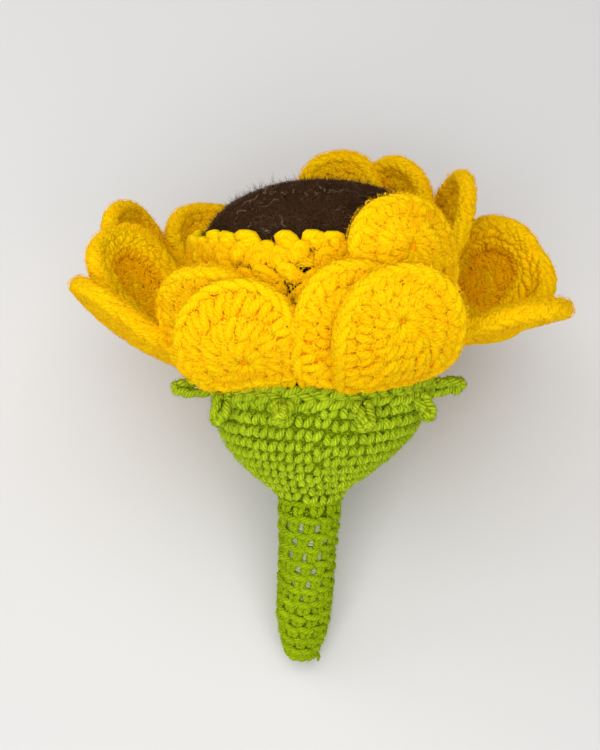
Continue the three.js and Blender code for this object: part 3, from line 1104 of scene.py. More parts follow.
@dataclass
class CalyxBowl:
    """The green half-bowl under the petals, in spiral rounds of single crochet, with its rim.

    Attributes:
        round_shift: how far each round is turned on from the one below, in stitches.
        climb: how far a round climbs to the next, as a share of its height.
        rim_rows: for each row of the rim, how far below the edge it lies and how its loops slant.
        fuzz_from: where the fuzz starts, as a share of the bowl's length, squared.
    """

    line: MiddleLine
    radius: float = 34.6
    rim_z: float = 4.4
    row_height: float = 4.25
    stitch_width: float = 5.3
    least_stitches: int = 10
    stitch: StitchShape = StitchShape(radius=1.2, height=0.1, open_foot=0.12, open_top=0.33,
                                      rise=0.6, sink=1.2, slim=0.7)
    stitch_lean: float = 0.16
    round_shift: float = 0.37
    climb: float = 0.4
    sunk: float = 0.1
    skin_inset: float = 2.2
    rim_stitches: int = 46
    rim_stitch: StitchShape = StitchShape(radius=1.3, height=0.8, sink=1.0, uneven=2.0)
    rim_height: float = 4.0
    rim_reach: float = 1.05
    rim_rows: tuple[tuple[float, float], ...] = ((0.6, 0.7), (2.4, -0.7), (4.4, 0.6))
    fuzz: tuple[Nap, Halo] = (Nap(count=9000, lift=0.9, reach=1.7), Halo(count=9000, lift=0.7))
    fuzz_from: float = 0.03

    def surface(self, inset: float) -> TurnedSurface:
        """Gives the bowl's surface from the neck to the rim.

        Args:
            inset: how far inside the bowl's outside it lies.

        Returns:
            The surface, shifted along the middle line.
        """
        neck = self.line.neck_z
        profile = [
            (10.5, neck), (12.9, neck + 3.5), (17.1, neck + 7), (22.2, neck + 11.4),
            (26.9, neck + 16.2), (30.1, neck + 20.5), (32.3, neck + 25), (34.0, neck + 30),
            (self.radius, neck + 34), (self.radius - 0.2, self.rim_z),
        ]
        return TurnedSurface([(radius - inset, z) for radius, z in profile], self.line.shift)

    def build(self, rng: np.random.Generator) -> None:
        """Builds the inner skin, dark with painted shade, the rounds with the rim, and the fuzz.

        Args:
            rng: the seeded source of unevenness.
        """
        inside = MeshParts()
        self.surface(self.skin_inset).skin(inside, rows=40, cols=72)
        finish_piece(inside.build("calyx_inside", GREEN_CORE_PAINTED_SHADE.material()), Yarn.GREEN)
        parts = MeshParts()
        bowl = self.surface(self.stitch.radius + self.sunk)
        rows = round(bowl.length / self.row_height)
        height = bowl.length / rows
        for row in range(rows):
            v = (row + 0.5) * height
            around = max(self.least_stitches, round(TURN * bowl.radius_at(v) / self.stitch_width))
            u = (np.arange(around) + self.round_shift * row) / around * TURN
            climb = height * (u / TURN % 1.0 - 0.5) * self.climb
            self.stitch.legs(parts, bowl, u, v + climb, TURN / around, height, Side.OUTER, rng,
                             self.stitch_lean)
        self._rim(parts, bowl, rng)
        finish_piece(parts.build("calyx_stitches", GREEN.material()), Yarn.GREEN, "calyx_bowl")
        fuzz = MeshParts()
        for kind in self.fuzz:
            v = bowl.length * np.sqrt(rng.uniform(self.fuzz_from, 1, kind.count))
            u = rng.uniform(0, TURN, kind.count)
            kind.lay(fuzz, bowl, u, v, np.full(kind.count, kind.lift), rng)
        finish_piece(fuzz.build("calyx_fuzz", GREEN_FUZZ.material()), Yarn.GREEN)

    def _rim(self, parts: MeshParts, bowl: TurnedSurface, rng: np.random.Generator) -> None:
        """Lays the loose chained edge that the sepals and petals grow from.

        Args:
            parts: what it is added to.
            bowl: the bowl's surface.
            rng: the seeded source of unevenness.
        """
        around = self.rim_stitches
        u = np.arange(around) / around * TURN
        for drop, slant in self.rim_rows:
            self.rim_stitch.bars(parts, bowl, u, bowl.length - drop, TURN / around, self.rim_height,
                                 Side.OUTER, rng, slant, self.rim_reach)


@dataclass(frozen=True)
class Lobe:
    """One sepal: its length, its angle above the rim's plane and its twist, in degrees."""

    length: float
    curl: float
    twist: float


@dataclass
class Sepals:
    """The small picots along the rim of the bowl, each a loop of yarn drawn to a blunt tip.

    Attributes:
        link_span: the length of a link, as a share of their spacing.
        link_ends: where the first link's middle lies in the loop, as a share of it.
        sweep: how far the links go round, in half turns.
        sweep_start: how far before a half turn they start.
        bluntness: how blunt the tip is, less for blunter.
        ply_raise: how far the two links at a place stand apart, from the sepal's middle.
        ply_bow: how much more they stand apart at their middles.
        ply_slip: how far a link's slant moves it along the sepal.
        fibre_run: how far a fibre runs back and forth along the yarn.
        fibre_stand: how far its middle and its tip stand off.
    """

    first_azimuth: float = -90.0
    width: float = 5.8
    root_radius: float = 35.2
    root_z: float = -0.4
    lobes: tuple[Lobe, ...] = (
        Lobe(11.5, 0, 75), Lobe(9, -68, 50), Lobe(8, -30, 0), Lobe(8.5, -55, 0), Lobe(8, -55, -45),
        Lobe(10, 8, 75), Lobe(7.5, 10, 0), Lobe(8.5, -6, 0), Lobe(8.5, -18, 0), Lobe(8.5, 10, 0),
    )
    links: int = 8
    link_steps: int = 5
    link_span: float = 1.5
    link_slant: float = 0.7
    link_ends: float = 0.02
    sweep: float = 1.1
    sweep_start: float = 0.05
    bluntness: float = 0.8
    tip_gap: float = 0.4
    ply_raise: float = 0.5
    ply_bow: float = 0.3
    ply_slip: float = 0.06
    uneven: float = 0.25
    yarn_radius: float = 1.3
    slim: float = 0.75
    fibre_count: int = 260
    fibre_run: tuple[float, float] = (0.7, 0.9)
    fibre_stand: tuple[float, float] = (0.3, 0.2)
    fibre_width: float = 0.1

    def build(self, rng: np.random.Generator) -> None:
        """Builds each sepal as a piece of its own.

        Args:
            rng: the seeded source of unevenness.
        """
        made = GREEN.material()
        for index, lobe in enumerate(self.lobes):
            azimuth = self.first_azimuth + 360 / len(self.lobes) * index
            parts = MeshParts()
            self._picot(parts, blade_axes(azimuth, lobe.curl, lobe.twist), lobe.length, rng)
            name = f"sepal_{index + 1}"
            finish_piece(parts.build(f"{name}_picot", made), Yarn.GREEN, name)

    def _picot(self, parts: MeshParts, axes: tuple[Array, ...], reach: float,
               rng: np.random.Generator) -> None:
        """Adds one sepal: a loop of short chained links, two to a place.

        Args:
            parts: what it is added to.
            axes: its own directions.
            reach: its length.
            rng: the seeded source of unevenness.
        """
        out, length, side, face = axes
        root = out * self.root_radius + np.array([0, 0, self.root_z])
        middle = np.linspace(self.link_ends, 1 - self.link_ends, self.links)[:, None]
        s = middle + np.linspace(-0.5, 0.5, self.link_steps) * self.link_span / self.links
        turn = math.pi * (self.sweep * s - self.sweep_start)
        tip = reach - self.yarn_radius - self.tip_gap
        ahead = tip * np.maximum(np.sin(turn), 0.0) ** self.bluntness
        across = -np.cos(turn) * (self.width / 2 - self.yarn_radius)
        bow = np.sin(math.pi * np.linspace(0, 1, self.link_steps))
        for hand in (-1.0, 1.0):
            loose = rng.normal(size=(3, self.links, 1)) * self.uneven
            slant = hand * np.linspace(-self.link_slant, self.link_slant, self.link_steps)
            raised = hand * self.ply_raise + self.ply_bow * bow * hand + loose[0]
            path = (root + length * (ahead * (1 + self.ply_slip * slant) + loose[1])[..., None]
                    + side * (across + slant + loose[2])[..., None] + face * raised[..., None])
            radii = self.yarn_radius * (self.slim + (1 - self.slim) * bow) + np.zeros((self.links, 1))
            strands(parts, path, radii)
            self._fibres(parts, path, rng)

    def _fibres(self, parts: MeshParts, path: Array, rng: np.random.Generator) -> None:
        """Adds the fibres round a sepal's links.

        Args:
            parts: what they are added to.
            path: the middle lines of the links, links by points by 3.
            rng: the seeded source of unevenness.
        """
        n = self.fibre_count
        roots = path[rng.integers(0, self.links, n), rng.integers(0, self.link_steps, n)]
        ways = unit(rng.normal(size=(n, 3)))
        along = unit(np.cross(ways, rng.normal(size=(n, 3))))
        start = roots + ways * self.yarn_radius
        back, forth = self.fibre_run
        middle, tip = self.fibre_stand
        fibres(parts, start - along * back, start + ways * middle, start + along * forth + ways * tip,
               self.fibre_width, rng)


@dataclass(frozen=True)
class RimFuzz:
    """Fibres on the thick edge of a petal: some that lie along it, then some that stand off it.

    Attributes:
        spread: how far up and down the edge they grow.
        rounding: how far in the edge's rounding takes them, as a share of the petal.
        inner: the share of the petal that the way out is taken from.
        run: the least and the greatest reach of a lying fibre to each side.
        lifts: how far out its start, its middle and its end lie.
        hair_least: the length of a standing fibre without its random share.
        hair_spread: the least and the greatest of that share, before it is scaled.
    """

    count: int = 1150
    spread: float = 2.6
    rounding: float = 0.06
    inner: float = 0.8
    run: tuple[float, float] = (0.5, 1.5)
    lifts: tuple[float, float, float] = (-0.2, 0.15, -0.1)
    width: float = 0.13
    hair_least: float = 0.5
    hair_scale: float = 0.4
    hair_spread: tuple[float, float] = (0.2, 2.2)
    hair_width: float = 0.07
    stand: float = 0.6
    stray: float = 0.5
    bend: float = 0.3
    sunk: float = 0.4

    def lay(self, parts: MeshParts, petal: Surface, rng: np.random.Generator) -> None:
        """Adds the fibres.

        Args:
            parts: what they are added to.
            petal: the petal that they grow on.
            rng: the seeded source of their unevenness.
        """
        n = self.count
        u = rng.uniform(0, TURN, n)
        height = rng.uniform(-self.spread, self.spread, n)
        roots = petal.at(u, 1 - (1 - np.cos(height / self.spread)) * self.rounding, height)
        out = unit(roots - petal.at(u, np.full(n, self.inner), np.zeros(n)))
        way = unit(np.cross(out, rng.normal(size=(n, 3)))) * rng.uniform(*self.run, (n, 1))
        start, middle, end = (out * lift for lift in self.lifts)
        fibres(parts, roots - way + start, roots + middle, roots + way + end, self.width, rng, out)
        ways = out * self.stand + rng.normal(size=(n, 3)) * self.stray
        reach = self.hair_least + self.hair_scale * rng.uniform(*self.hair_spread, (n, 1))
        bend = rng.normal(size=(n, 3)) * self.bend
        roots = roots - out * self.sunk
        middles = roots + (ways + bend) * reach / 2
        fibres(parts, roots, middles, roots + ways * reach, self.hair_width, rng)


@dataclass
class Petal:
    """One cupped thick petal: two faces of stitches worked in rounds, and a braided fat rim.

    Attributes:
        radius: how far from the axis it is rooted.
        azimuth: where round the axis it stands, in degrees.
        z: at what height it is rooted.
        lean: the angle of its length above the radial direction.
        twist: its turn about its length.
        roll: its swing in its own plane.
        below: its length from its middle down to its root.
        tip: its length from its middle up to its tip.
        half: half its width.
        arch: how far its length bows.
        cup: how far its sides bend in.
        edge_roll: the radius of an edge that is rolled in, or 0 for none.
        edge_at: the direction of that edge from the petal's middle, in degrees from the tip.
        edge_start: how far from the middle the edge starts to roll.
        heart: how far its first round lies from its middle towards its tip.
        tip_power: how square its outline is at the tip.
        root_power: how square it is at the root.
        dish: how far each face sinks towards the middle.
        cup_dish: how far the hollow side of a rolled petal sinks.
        round_middle: where a round's stitches lie in it, as a share of it.
        first_middle: the same for the first round of a flat petal.
        edge_share: the part of the thickness that the rounds leave to the rim, as a divisor.
        span_step: the share of the way to the outline that its length is measured over.
        rim_rows: for each row of the rim, its place round the edge and its slant, in degrees.
        rim_stray: how far its strands lie off along it, round the edge in degrees and in radius.
        welt_rounds: for each round that curls in, how far in it lies and how proud it stands.
        inside_places: where the inner sheet's rows lie, as shares of the way to the outline.
        inside_middle: its thickness at the middle of a flat petal, as a share.
        fuzz_span: where the faces' fibres grow, as shares of the way to the outline, squared.
    """

    radius: float
    azimuth: float
    z: float
    lean: float
    twist: float
    roll: float
    below: float
    tip: float
    half: float
    arch: float
    cup: float
    edge_roll: float = 0.0
    edge_at: float = 0.0
    edge_start: float = 0.0
    heart: float = 0.0
    narrowing: float = 0.12
    tip_power: float = 2.2
    root_power: float = 5.0
    thickness: float = 6.4
    dish: float = 1.1
    cup_dish: float = 1.9
    round_height: float = 4.4
    round_middle: float = 0.62
    first_middle: float = 0.84
    round_shift: float = 0.31
    first_turn: float = 0.4
    edge_share: float = 2.4
    span_step: float = 0.05
    least_stitches: int = 6
    stitch_width: float = 4.5
    stitch_lean: float = 0.5
    yarn_radius: float = 1.5
    face_stitch: StitchShape = StitchShape(sink=0.55, rise=0.92, open_foot=0.08, open_top=0.36,
                                           slim=0.85)
    rim_rows: tuple[tuple[float, float], ...] = ((62.0, 80.0), (0.0, -85.0), (-62.0, 80.0))
    rim_reach: float = 1.5
    rim_steps: int = 7
    rim_stray: tuple[float, float, float] = (0.06, 6, 0.04)
    rim_slim: float = 0.8
    rim_swell: float = 0.2
    rim_flat: float = 0.95
    welt_rounds: tuple[tuple[float, float], ...] = ((2.9, 0.1), (5.0, 0.35), (7.1, 0.2), (9.0, -0.4))
    welt_slant: float = 0.4
    welt_reach: float = 1.35
    inside_inset: float = 1.9
    inside_places: tuple[float, ...] = (0.0, 0.08, 0.25, 0.5, 0.75, 0.88)
    inside_edge: float = 0.92
    inside_middle: float = 0.2
    inside_rim: float = 0.8
    inside_columns: int = 40
    fuzz: tuple[Nap, Halo] = (Nap(count=1700, lift=-0.15, width=0.22), Halo(count=600, lift=-0.5))
    fuzz_span: tuple[float, float] = (0.015, 0.86)
    rim_fuzz: RimFuzz = RimFuzz()

    def __post_init__(self) -> None:
        """Works out the petal's own directions, its mean radius and how far its hollow side sinks."""
        out, self.way, self.side, self.face = blade_axes(self.azimuth, self.lean, self.twist, self.roll)
        self.root = out * self.radius + np.array([0, 0, self.z])
        self.mean = (self.below + self.tip + 2 * self.half) / 4
        self.hollow = self.cup_dish if self.edge_roll else self.dish

    def outline(self, u: Array) -> tuple[Array, Array]:
        """Gives places on the outline.

        Args:
            u: turn round the petal's middle, in radians, from its tip.

        Returns:
            How far they lie along the petal, and across it as a share of half its width.
        """
        ahead, aside = np.cos(u), np.sin(u)
        power = np.where(ahead > 0, self.tip_power, self.root_power)
        bulge = (np.abs(ahead) ** power + np.abs(aside) ** power) ** (-1 / power)
        return ahead * bulge * np.where(ahead > 0, self.tip, self.below), aside * bulge

    def span(self, u: Array) -> Array:
        """Gives the distance over the sheet from the petal's middle to its outline.

        Args:
            u: turn round the petal's middle, in radians, from its tip.

        Returns:
            The distance in millimetres.
        """
        near = self.at(u, np.full_like(u, 1 - self.span_step), np.zeros_like(u))
        edge = self.at(u, np.ones_like(u), np.zeros_like(u))
        return np.linalg.norm(edge - near, axis=-1) / self.span_step

    def at(self, u: Array, v: Array, lift: Array) -> Array:
        """Gives the points at turn u and share v of the way to the outline.

        Args:
            u: turn round the petal's middle, in radians, from its tip.
            v: share of the way from the middle to the outline.
            lift: distance off the petal's middle sheet, in millimetres.

        Returns:
            Positions in the flower's frame.
        """
        along, across = self.outline(u)
        across = across * v * (1 - self.narrowing * v * np.maximum(-np.cos(u), 0))
        along = along * v + self.heart * (1 - v)
        whole = self.below + self.tip
        share = (along + self.below) / whole
        stand = 4 * self.arch * share * (1 - share) - self.cup * across ** 2
        tilt_along = -4 * self.arch * (1 - 2 * share) / whole
        tilt_across = 2 * self.cup * across / self.half
        steep = np.sqrt(tilt_along ** 2 + tilt_across ** 2 + 1)
        x = along + tilt_along * lift / steep
        y = across * self.half + tilt_across * lift / steep
        x, y, z = self._rolled((along, across * self.half), x, y, stand + lift / steep)
        return (self.root + self.way * (x + self.below)[..., None] + self.side * y[..., None]
                + self.face * z[..., None])

    def _rolled(self, foot: tuple[Array, Array], x: Array, y: Array,
                z: Array) -> tuple[Array, Array, Array]:
        """Rolls points over an edge that is turned in.

        Args:
            foot: where each point's foot lies on the flat petal.
            x: the points' places along the petal.
            y: their places across it.
            z: their heights over it.

        Returns:
            The rolled places.
        """
        if not self.edge_roll:
            return x, y, z
        cos_at, sin_at = math.cos(math.radians(self.edge_at)), math.sin(math.radians(self.edge_at))
        base = foot[0] * cos_at + foot[1] * sin_at
        ahead = x * cos_at + y * sin_at
        before = ahead - base
        angle = np.maximum(base - self.edge_start, 0) / self.edge_roll
        over = angle > 0
        bent = self.edge_start + (self.edge_roll + z) * np.sin(angle) + before * np.cos(angle)
        low = -self.edge_roll * (1 - np.cos(angle)) + z * np.cos(angle) - before * np.sin(angle)
        moved = np.where(over, bent - ahead, 0)
        return x + moved * cos_at, y + moved * sin_at, np.where(over, low, z)

    def stitch(self, parts: MeshParts, lining: MeshParts, core: MeshParts,
               rng: np.random.Generator) -> None:
        """Adds the petal's stitches and its inside.

        Args:
            parts: what the outer stitches and the rim are added to.
            lining: what the stitches of the hollow side are added to.
            core: what the inner sheet is added to.
            rng: the seeded source of unevenness.
        """
        mean = self.mean
        rounds = round((mean - self.thickness / 2) / self.round_height)
        step = (1 - self.thickness / self.edge_share / mean) / rounds
        deep = self.thickness / 2 - self.yarn_radius
        for ring in range(rounds):
            at = self.round_middle if ring or self.edge_roll else self.first_middle
            middle = (ring + at) * step
            count = max(self.least_stitches, round(TURN * middle * mean / self.stitch_width))
            u = (np.arange(count) + self.round_shift * ring) / count * TURN + self.first_turn
            for side, dish, into in ((Side.OUTER, self.dish, parts), (Side.INNER, self.hollow, lining)):
                shape = replace(self.face_stitch, radius=self.yarn_radius,
                                height=deep - dish * (1 - middle ** 2))
                shift = (0.5 + side.value / 2) * (TURN / count) / 2
                shape.legs(into, self, u + shift, middle, TURN / count, step, side, rng,
                           self.stitch_lean)
        if self.edge_roll:
            self._welt(parts, lining, rng)
        self._rim(parts, rng)
        self._inside(core)

    def _rim(self, parts: MeshParts, rng: np.random.Generator) -> None:
        """Wraps the edge with braided rows of strands, so that it is a thick roll.

        Args:
            parts: what they are added to.
            rng: the seeded source of unevenness.
        """
        count = round(TURN * self.mean / self.stitch_width)
        s = np.linspace(0, 1, self.rim_steps)[None, :]
        deep = self.thickness / 2 - self.yarn_radius
        stray_turn, stray_edge, stray_radius = self.rim_stray
        for row, (height, slant) in enumerate(self.rim_rows):
            loose = rng.normal(size=(3, count, 1))
            u = ((np.arange(count) + 0.5 * row) / count * TURN)[:, None]
            turn = u + ((s - 0.5) * self.rim_reach + loose[0] * stray_turn) * TURN / count
            round_edge = np.radians(height + slant * (s - 0.5) + loose[1] * stray_edge)
            out = deep * np.cos(round_edge) - self.thickness / 2
            paths = self.at(turn, 1 + out / self.span(turn), deep * np.sin(round_edge))
            radii = (self.yarn_radius * (self.rim_slim + self.rim_swell * np.sin(math.pi * s))
                     * (1 + stray_radius * loose[2]))
            strands(parts, paths, radii, flat=self.rim_flat)

    def _welt(self, parts: MeshParts, lining: MeshParts, rng: np.random.Generator) -> None:
        """Lays the rounds of a rolled petal's edge that curl in, the last in the cup's painted-shade
        finish.

        Args:
            parts: what they are added to.
            lining: what the last of them is added to.
            rng: the seeded source of unevenness.
        """
        mean = self.mean
        count = round(TURN * mean / self.stitch_width)
        for row, (inward, proud) in enumerate(self.welt_rounds):
            into = lining if row == len(self.welt_rounds) - 1 else parts
            shape = StitchShape(radius=self.yarn_radius, sink=0.5,
                                height=self.thickness / 2 - self.yarn_radius + proud)
            u = (np.arange(count) + 0.5 * row) / count * TURN
            shape.bars(into, self, u, 1 - inward / mean, TURN / count, self.round_height / mean,
                       Side.INNER, rng, self.welt_slant * (-1) ** row, self.welt_reach)

    def _inside(self, core: MeshParts) -> None:
        """Adds the sheet that closes the gaps between the stitches, whose darker colour is painted
        shade.

        Args:
            core: what it is added to.
        """
        half = self.thickness / 2 - self.inside_inset
        near = np.array(self.inside_places)
        v = np.concatenate([near, [self.inside_edge], near[::-1]])
        bulk = np.ones(len(near))
        bulk[0] = 1.0 if self.edge_roll else self.inside_middle
        bulk[-1] = self.inside_rim
        outer = bulk * (half - self.dish * (1 - near ** 2))
        inner = bulk * (half - self.hollow * (1 - near ** 2))
        lift = np.concatenate([outer, [0.0], -inner[::-1]])[:, None]
        u = np.linspace(0, TURN, self.inside_columns, endpoint=False)[None, :]
        sheet(core, self.at(u + 0 * v[:, None], v[:, None] + 0 * u, lift + 0 * u)[:, ::-1])

    def fluff(self, fuzz: MeshParts, lining: MeshParts, rng: np.random.Generator) -> None:
        """Adds the loose fibres on both faces and round the rim.

        Args:
            fuzz: what the outer side's fibres are added to.
            lining: what the hollow side's fibres are added to.
            rng: the seeded source of unevenness.
        """
        for part, hand, dish in ((fuzz, 1.0, self.dish), (lining, -1.0, self.hollow)):
            for kind in self.fuzz:
                v = np.sqrt(rng.uniform(*self.fuzz_span, kind.count))
                lift = hand * (self.thickness / 2 + kind.lift - dish * (1 - v ** 2))
                kind.lay(part, self, rng.uniform(0, TURN, kind.count), v, lift, rng)
        self.rim_fuzz.lay(fuzz, self, rng)


# The petals, ring by ring from the calyx up
PETAL_RINGS = {
    "lower": (
        Petal(radius=36.5, azimuth=-85.5, z=7, lean=34.5, twist=-11.5, roll=8,
              below=25.5, tip=21, half=17.5, arch=5, cup=4),
        Petal(radius=38, azimuth=-30, z=6, lean=73, twist=-19.5, roll=-4,
              below=14, tip=17, half=18.5, arch=6.5, cup=1.5, heart=-6.0),
        Petal(radius=38.5, azimuth=27.5, z=6.5, lean=62, twist=6.5, roll=-13.5,
              below=19.5, tip=19, half=19, arch=8.5, cup=2.5, heart=6.5),
        Petal(radius=35.5, azimuth=87, z=13.5, lean=16.5, twist=4.5, roll=-15.5,
              below=23, tip=19, half=16.5, arch=1, cup=5),
        Petal(radius=37, azimuth=148, z=6, lean=7.22, twist=0, roll=0,
              below=25, tip=19, half=18, arch=4.8, cup=5.6),
        Petal(radius=37, azimuth=-148, z=6, lean=7.22, twist=0, roll=0,
              below=25, tip=19, half=18, arch=4.8, cup=5.6),
    ),
    "middle": (
        Petal(radius=37.5, azimuth=-95.5, z=14, lean=52, twist=27, roll=7.5, below=26.5, tip=18.5,
              half=18, arch=5.5, cup=5.5, edge_roll=6, edge_at=-59, edge_start=12.5),
        Petal(radius=39, azimuth=-47.5, z=5.5, lean=77, twist=-14.5, roll=1.5,
              below=18.5, tip=15.5, half=19, arch=3.5, cup=5.5),
        Petal(radius=38.5, azimuth=6, z=6, lean=75, twist=-2, roll=6.5,
              below=19.5, tip=17, half=15.5, arch=5.5, cup=4),
        Petal(radius=41, azimuth=108.5, z=16.5, lean=51.5, twist=-36, roll=6.5, below=26.5, tip=16.5,
              half=18, arch=12, cup=3, edge_roll=6, edge_at=-92.5, edge_start=12.5),
        Petal(radius=38.5, azimuth=142, z=14, lean=38, twist=0, roll=0,
              below=24, tip=18, half=17, arch=4.8, cup=5.6),
        Petal(radius=38.5, azimuth=180, z=14, lean=38, twist=0, roll=0,
              below=24, tip=18, half=18, arch=4.8, cup=5.6),
        Petal(radius=38.5, azimuth=-140, z=14, lean=38, twist=0, roll=0,
              below=24, tip=18, half=17, arch=4.8, cup=5.6),
    ),
    "upper": (
        Petal(radius=43, azimuth=31.5, z=20.5, lean=97, twist=5.5, roll=-2,
              below=20, tip=17, half=16.5, arch=7.5, cup=7, heart=3.0),
        Petal(radius=42, azimuth=119, z=31.5, lean=74, twist=19.5, roll=13,
              below=21, tip=16.5, half=18, arch=4, cup=3),
        Petal(radius=44.5, azimuth=145.5, z=32, lean=88, twist=23.5, roll=15.5,
              below=22, tip=19, half=18.5, arch=7, cup=2),
        Petal(radius=42, azimuth=168, z=34, lean=77.5, twist=-3.5, roll=6.5,
              below=24.5, tip=17.5, half=15.5, arch=5, cup=4.5),
        Petal(radius=41.5, azimuth=-136, z=24.5, lean=59, twist=8, roll=-6,
              below=20.5, tip=17, half=18.5, arch=5, cup=6.5),
        Petal(radius=42, azimuth=-118.5, z=24, lean=52, twist=1, roll=14.5,
              below=25, tip=18.5, half=16.5, arch=9, cup=3),
    ),
}


@dataclass
class PetalRing:
    """One ring of petals."""

    name: str
    petals: tuple[Petal, ...]

    def build(self, rng: np.random.Generator) -> None:
        """Builds every petal of the ring with its inside, its fuzz and its painted-shade cup as own
        pieces.

        Args:
            rng: the seeded source of unevenness.
        """
        stitched, inside, loose = YELLOW.material(), YELLOW_CORE_PAINTED_SHADE.material(), YELLOW_FUZZ.material()
        deep, cup_shade_loose = PAINTED_CUP_SHADE.material(), PAINTED_CUP_SHADE_FUZZ.material()
        for index, petal in enumerate(self.petals):
            name = f"petal_{self.name}_{index + 1}"
            parts, core, fuzz = MeshParts(), MeshParts(), MeshParts()
            cupped = petal.edge_roll > 0
            lining, down = (MeshParts(), MeshParts()) if cupped else (parts, fuzz)
            petal.stitch(parts, lining, core, rng)
            petal.fluff(fuzz, down, rng)
            if cupped:
                finish_piece(lining.build(f"{name}_cup", deep), Yarn.YELLOW)
                finish_piece(down.build(f"{name}_cup_fuzz", cup_shade_loose), Yarn.YELLOW)
            finish_piece(parts.build(f"{name}_stitches", stitched), Yarn.YELLOW, name)
            finish_piece(core.build(f"{name}_inside", inside), Yarn.YELLOW)
            finish_piece(fuzz.build(f"{name}_fuzz", loose), Yarn.YELLOW)


@dataclass
class ScallopedBand:
    """The yellow band round the seed dome, in rows of chunky bumps, some lower, some drawn apart.

    Attributes:
        row_middles: how far above the lower edge each row lies.
        stray_round: how far bumps lie off round the band, as a share of their spacing.
        dip: how much lower the bumps of the upper edge listed in dips lie.
        dips: those bumps.
        gap: how far bumps of the two rows below are drawn apart at the places listed in gaps.
        gaps: those places.
        fuzz_margins: how far inside its lower and its upper edge its fuzz grows.
        collar: radius and height pairs of the rounds below it, from the bottom up.
        backing_span: how far below the upper edge the backing starts and ends.
    """

    bottom: float = 29.5
    middle: float = 38
    top: float = 46.5
    radius: float = 38.2
    bulge: float = 0.2
    scallops: int = 38
    bump: StitchShape = StitchShape(radius=1.75, height=0.6, open_foot=0.02, open_top=0.34, rise=0.8,
                                    sink=0.9, uneven=1.6, steps=8)
    bump_lean: float = 0.35
    row_middles: tuple[float, ...] = (1.6, 6.6, 11.4, 16.0)
    row_height: float = 5.4
    stray_round: float = 0.14
    stray_up: float = 0.5
    dip: float = 3.2
    dips: tuple[int, ...] = (5, 9, 14, 18, 22, 27, 28, 29, 30, 34)
    gap: float = 1.6
    gaps: tuple[int, ...] = (2, 8, 12, 17, 21, 25, 30, 34, 37)
    fuzz: tuple[Nap, Halo] = (Nap(count=11000, lift=2.3, reach=2.6),
                              Halo(count=5000, lift=2.0, length=0.4))
    fuzz_margins: tuple[float, float] = (0.8, 1.6)
    collar: tuple[tuple[float, float], ...] = ((34.9, 4.8), (35.1, 12), (35.2, 23.0))
    collar_rows: int = 4
    collar_stitches: int = 44
    collar_shift: float = 0.4
    collar_stitch: StitchShape = StitchShape(radius=1.3, sink=0.5, rise=0.9)
    backing_inset: float = 0.8
    backing_span: tuple[float, float] = (8.0, 4.2)

    def build(self, rng: np.random.Generator) -> None:
        """Builds the rows of bumps and their fuzz, and the collar below them.

        Args:
            rng: the seeded source of unevenness.
        """
        strip = TurnedSurface([(self.radius, self.bottom), (self.radius + self.bulge, self.middle),
                               (self.radius, self.top)])
        parts = MeshParts()
        around = self.scallops
        last = len(self.row_middles) - 1
        for row, middle in enumerate(self.row_middles):
            stray = rng.uniform(-self.stray_round, self.stray_round, around)
            u = (np.arange(around) + 0.5 * row + stray) / around * TURN
            v = middle + rng.uniform(-self.stray_up, self.stray_up, around)
            if row == last:
                v[list(self.dips)] -= self.dip
            if row == last - 1:
                v[[place - 1 for place in self.gaps]] += self.gap
            if row == last - 2:
                v[list(self.gaps)] -= self.gap
            self.bump.puffs(parts, strip, u, v, TURN / around, self.row_height, rng,
                            self.bump_lean * (-1) ** row)
        finish_piece(parts.build("band_bumps", YELLOW.material()), Yarn.YELLOW, "scalloped_band")
        fuzz = MeshParts()
        low, high = self.fuzz_margins
        for kind in self.fuzz:
            u, v = rng.uniform(0, TURN, kind.count), rng.uniform(low, strip.length - high, kind.count)
            kind.lay(fuzz, strip, u, v, np.full(kind.count, kind.lift), rng)
        finish_piece(fuzz.build("band_fuzz", YELLOW_FUZZ.material()), Yarn.YELLOW)
        self._collar(rng)

    def _collar(self, rng: np.random.Generator) -> None:
        """Adds the rounds that the petals are sewn to, and the backing of the band.

        Args:
            rng: the seeded source of unevenness.
        """
        collar = TurnedSurface(self.collar)
        parts = MeshParts()
        rows, around = self.collar_rows, self.collar_stitches
        height = collar.length / rows
        for row in range(rows):
            u = (np.arange(around) + self.collar_shift * row) / around * TURN
            self.collar_stitch.legs(parts, collar, u, (row + 0.5) * height, TURN / around, height,
                                    Side.OUTER, rng)
        radius = self.radius - self.backing_inset
        backing = TurnedSurface([(radius, self.top - below) for below in self.backing_span])
        backing.skin(parts, rows=8, cols=120, swell=0.2)
        finish_piece(parts.build("petal_collar", YELLOW.material()), Yarn.YELLOW)


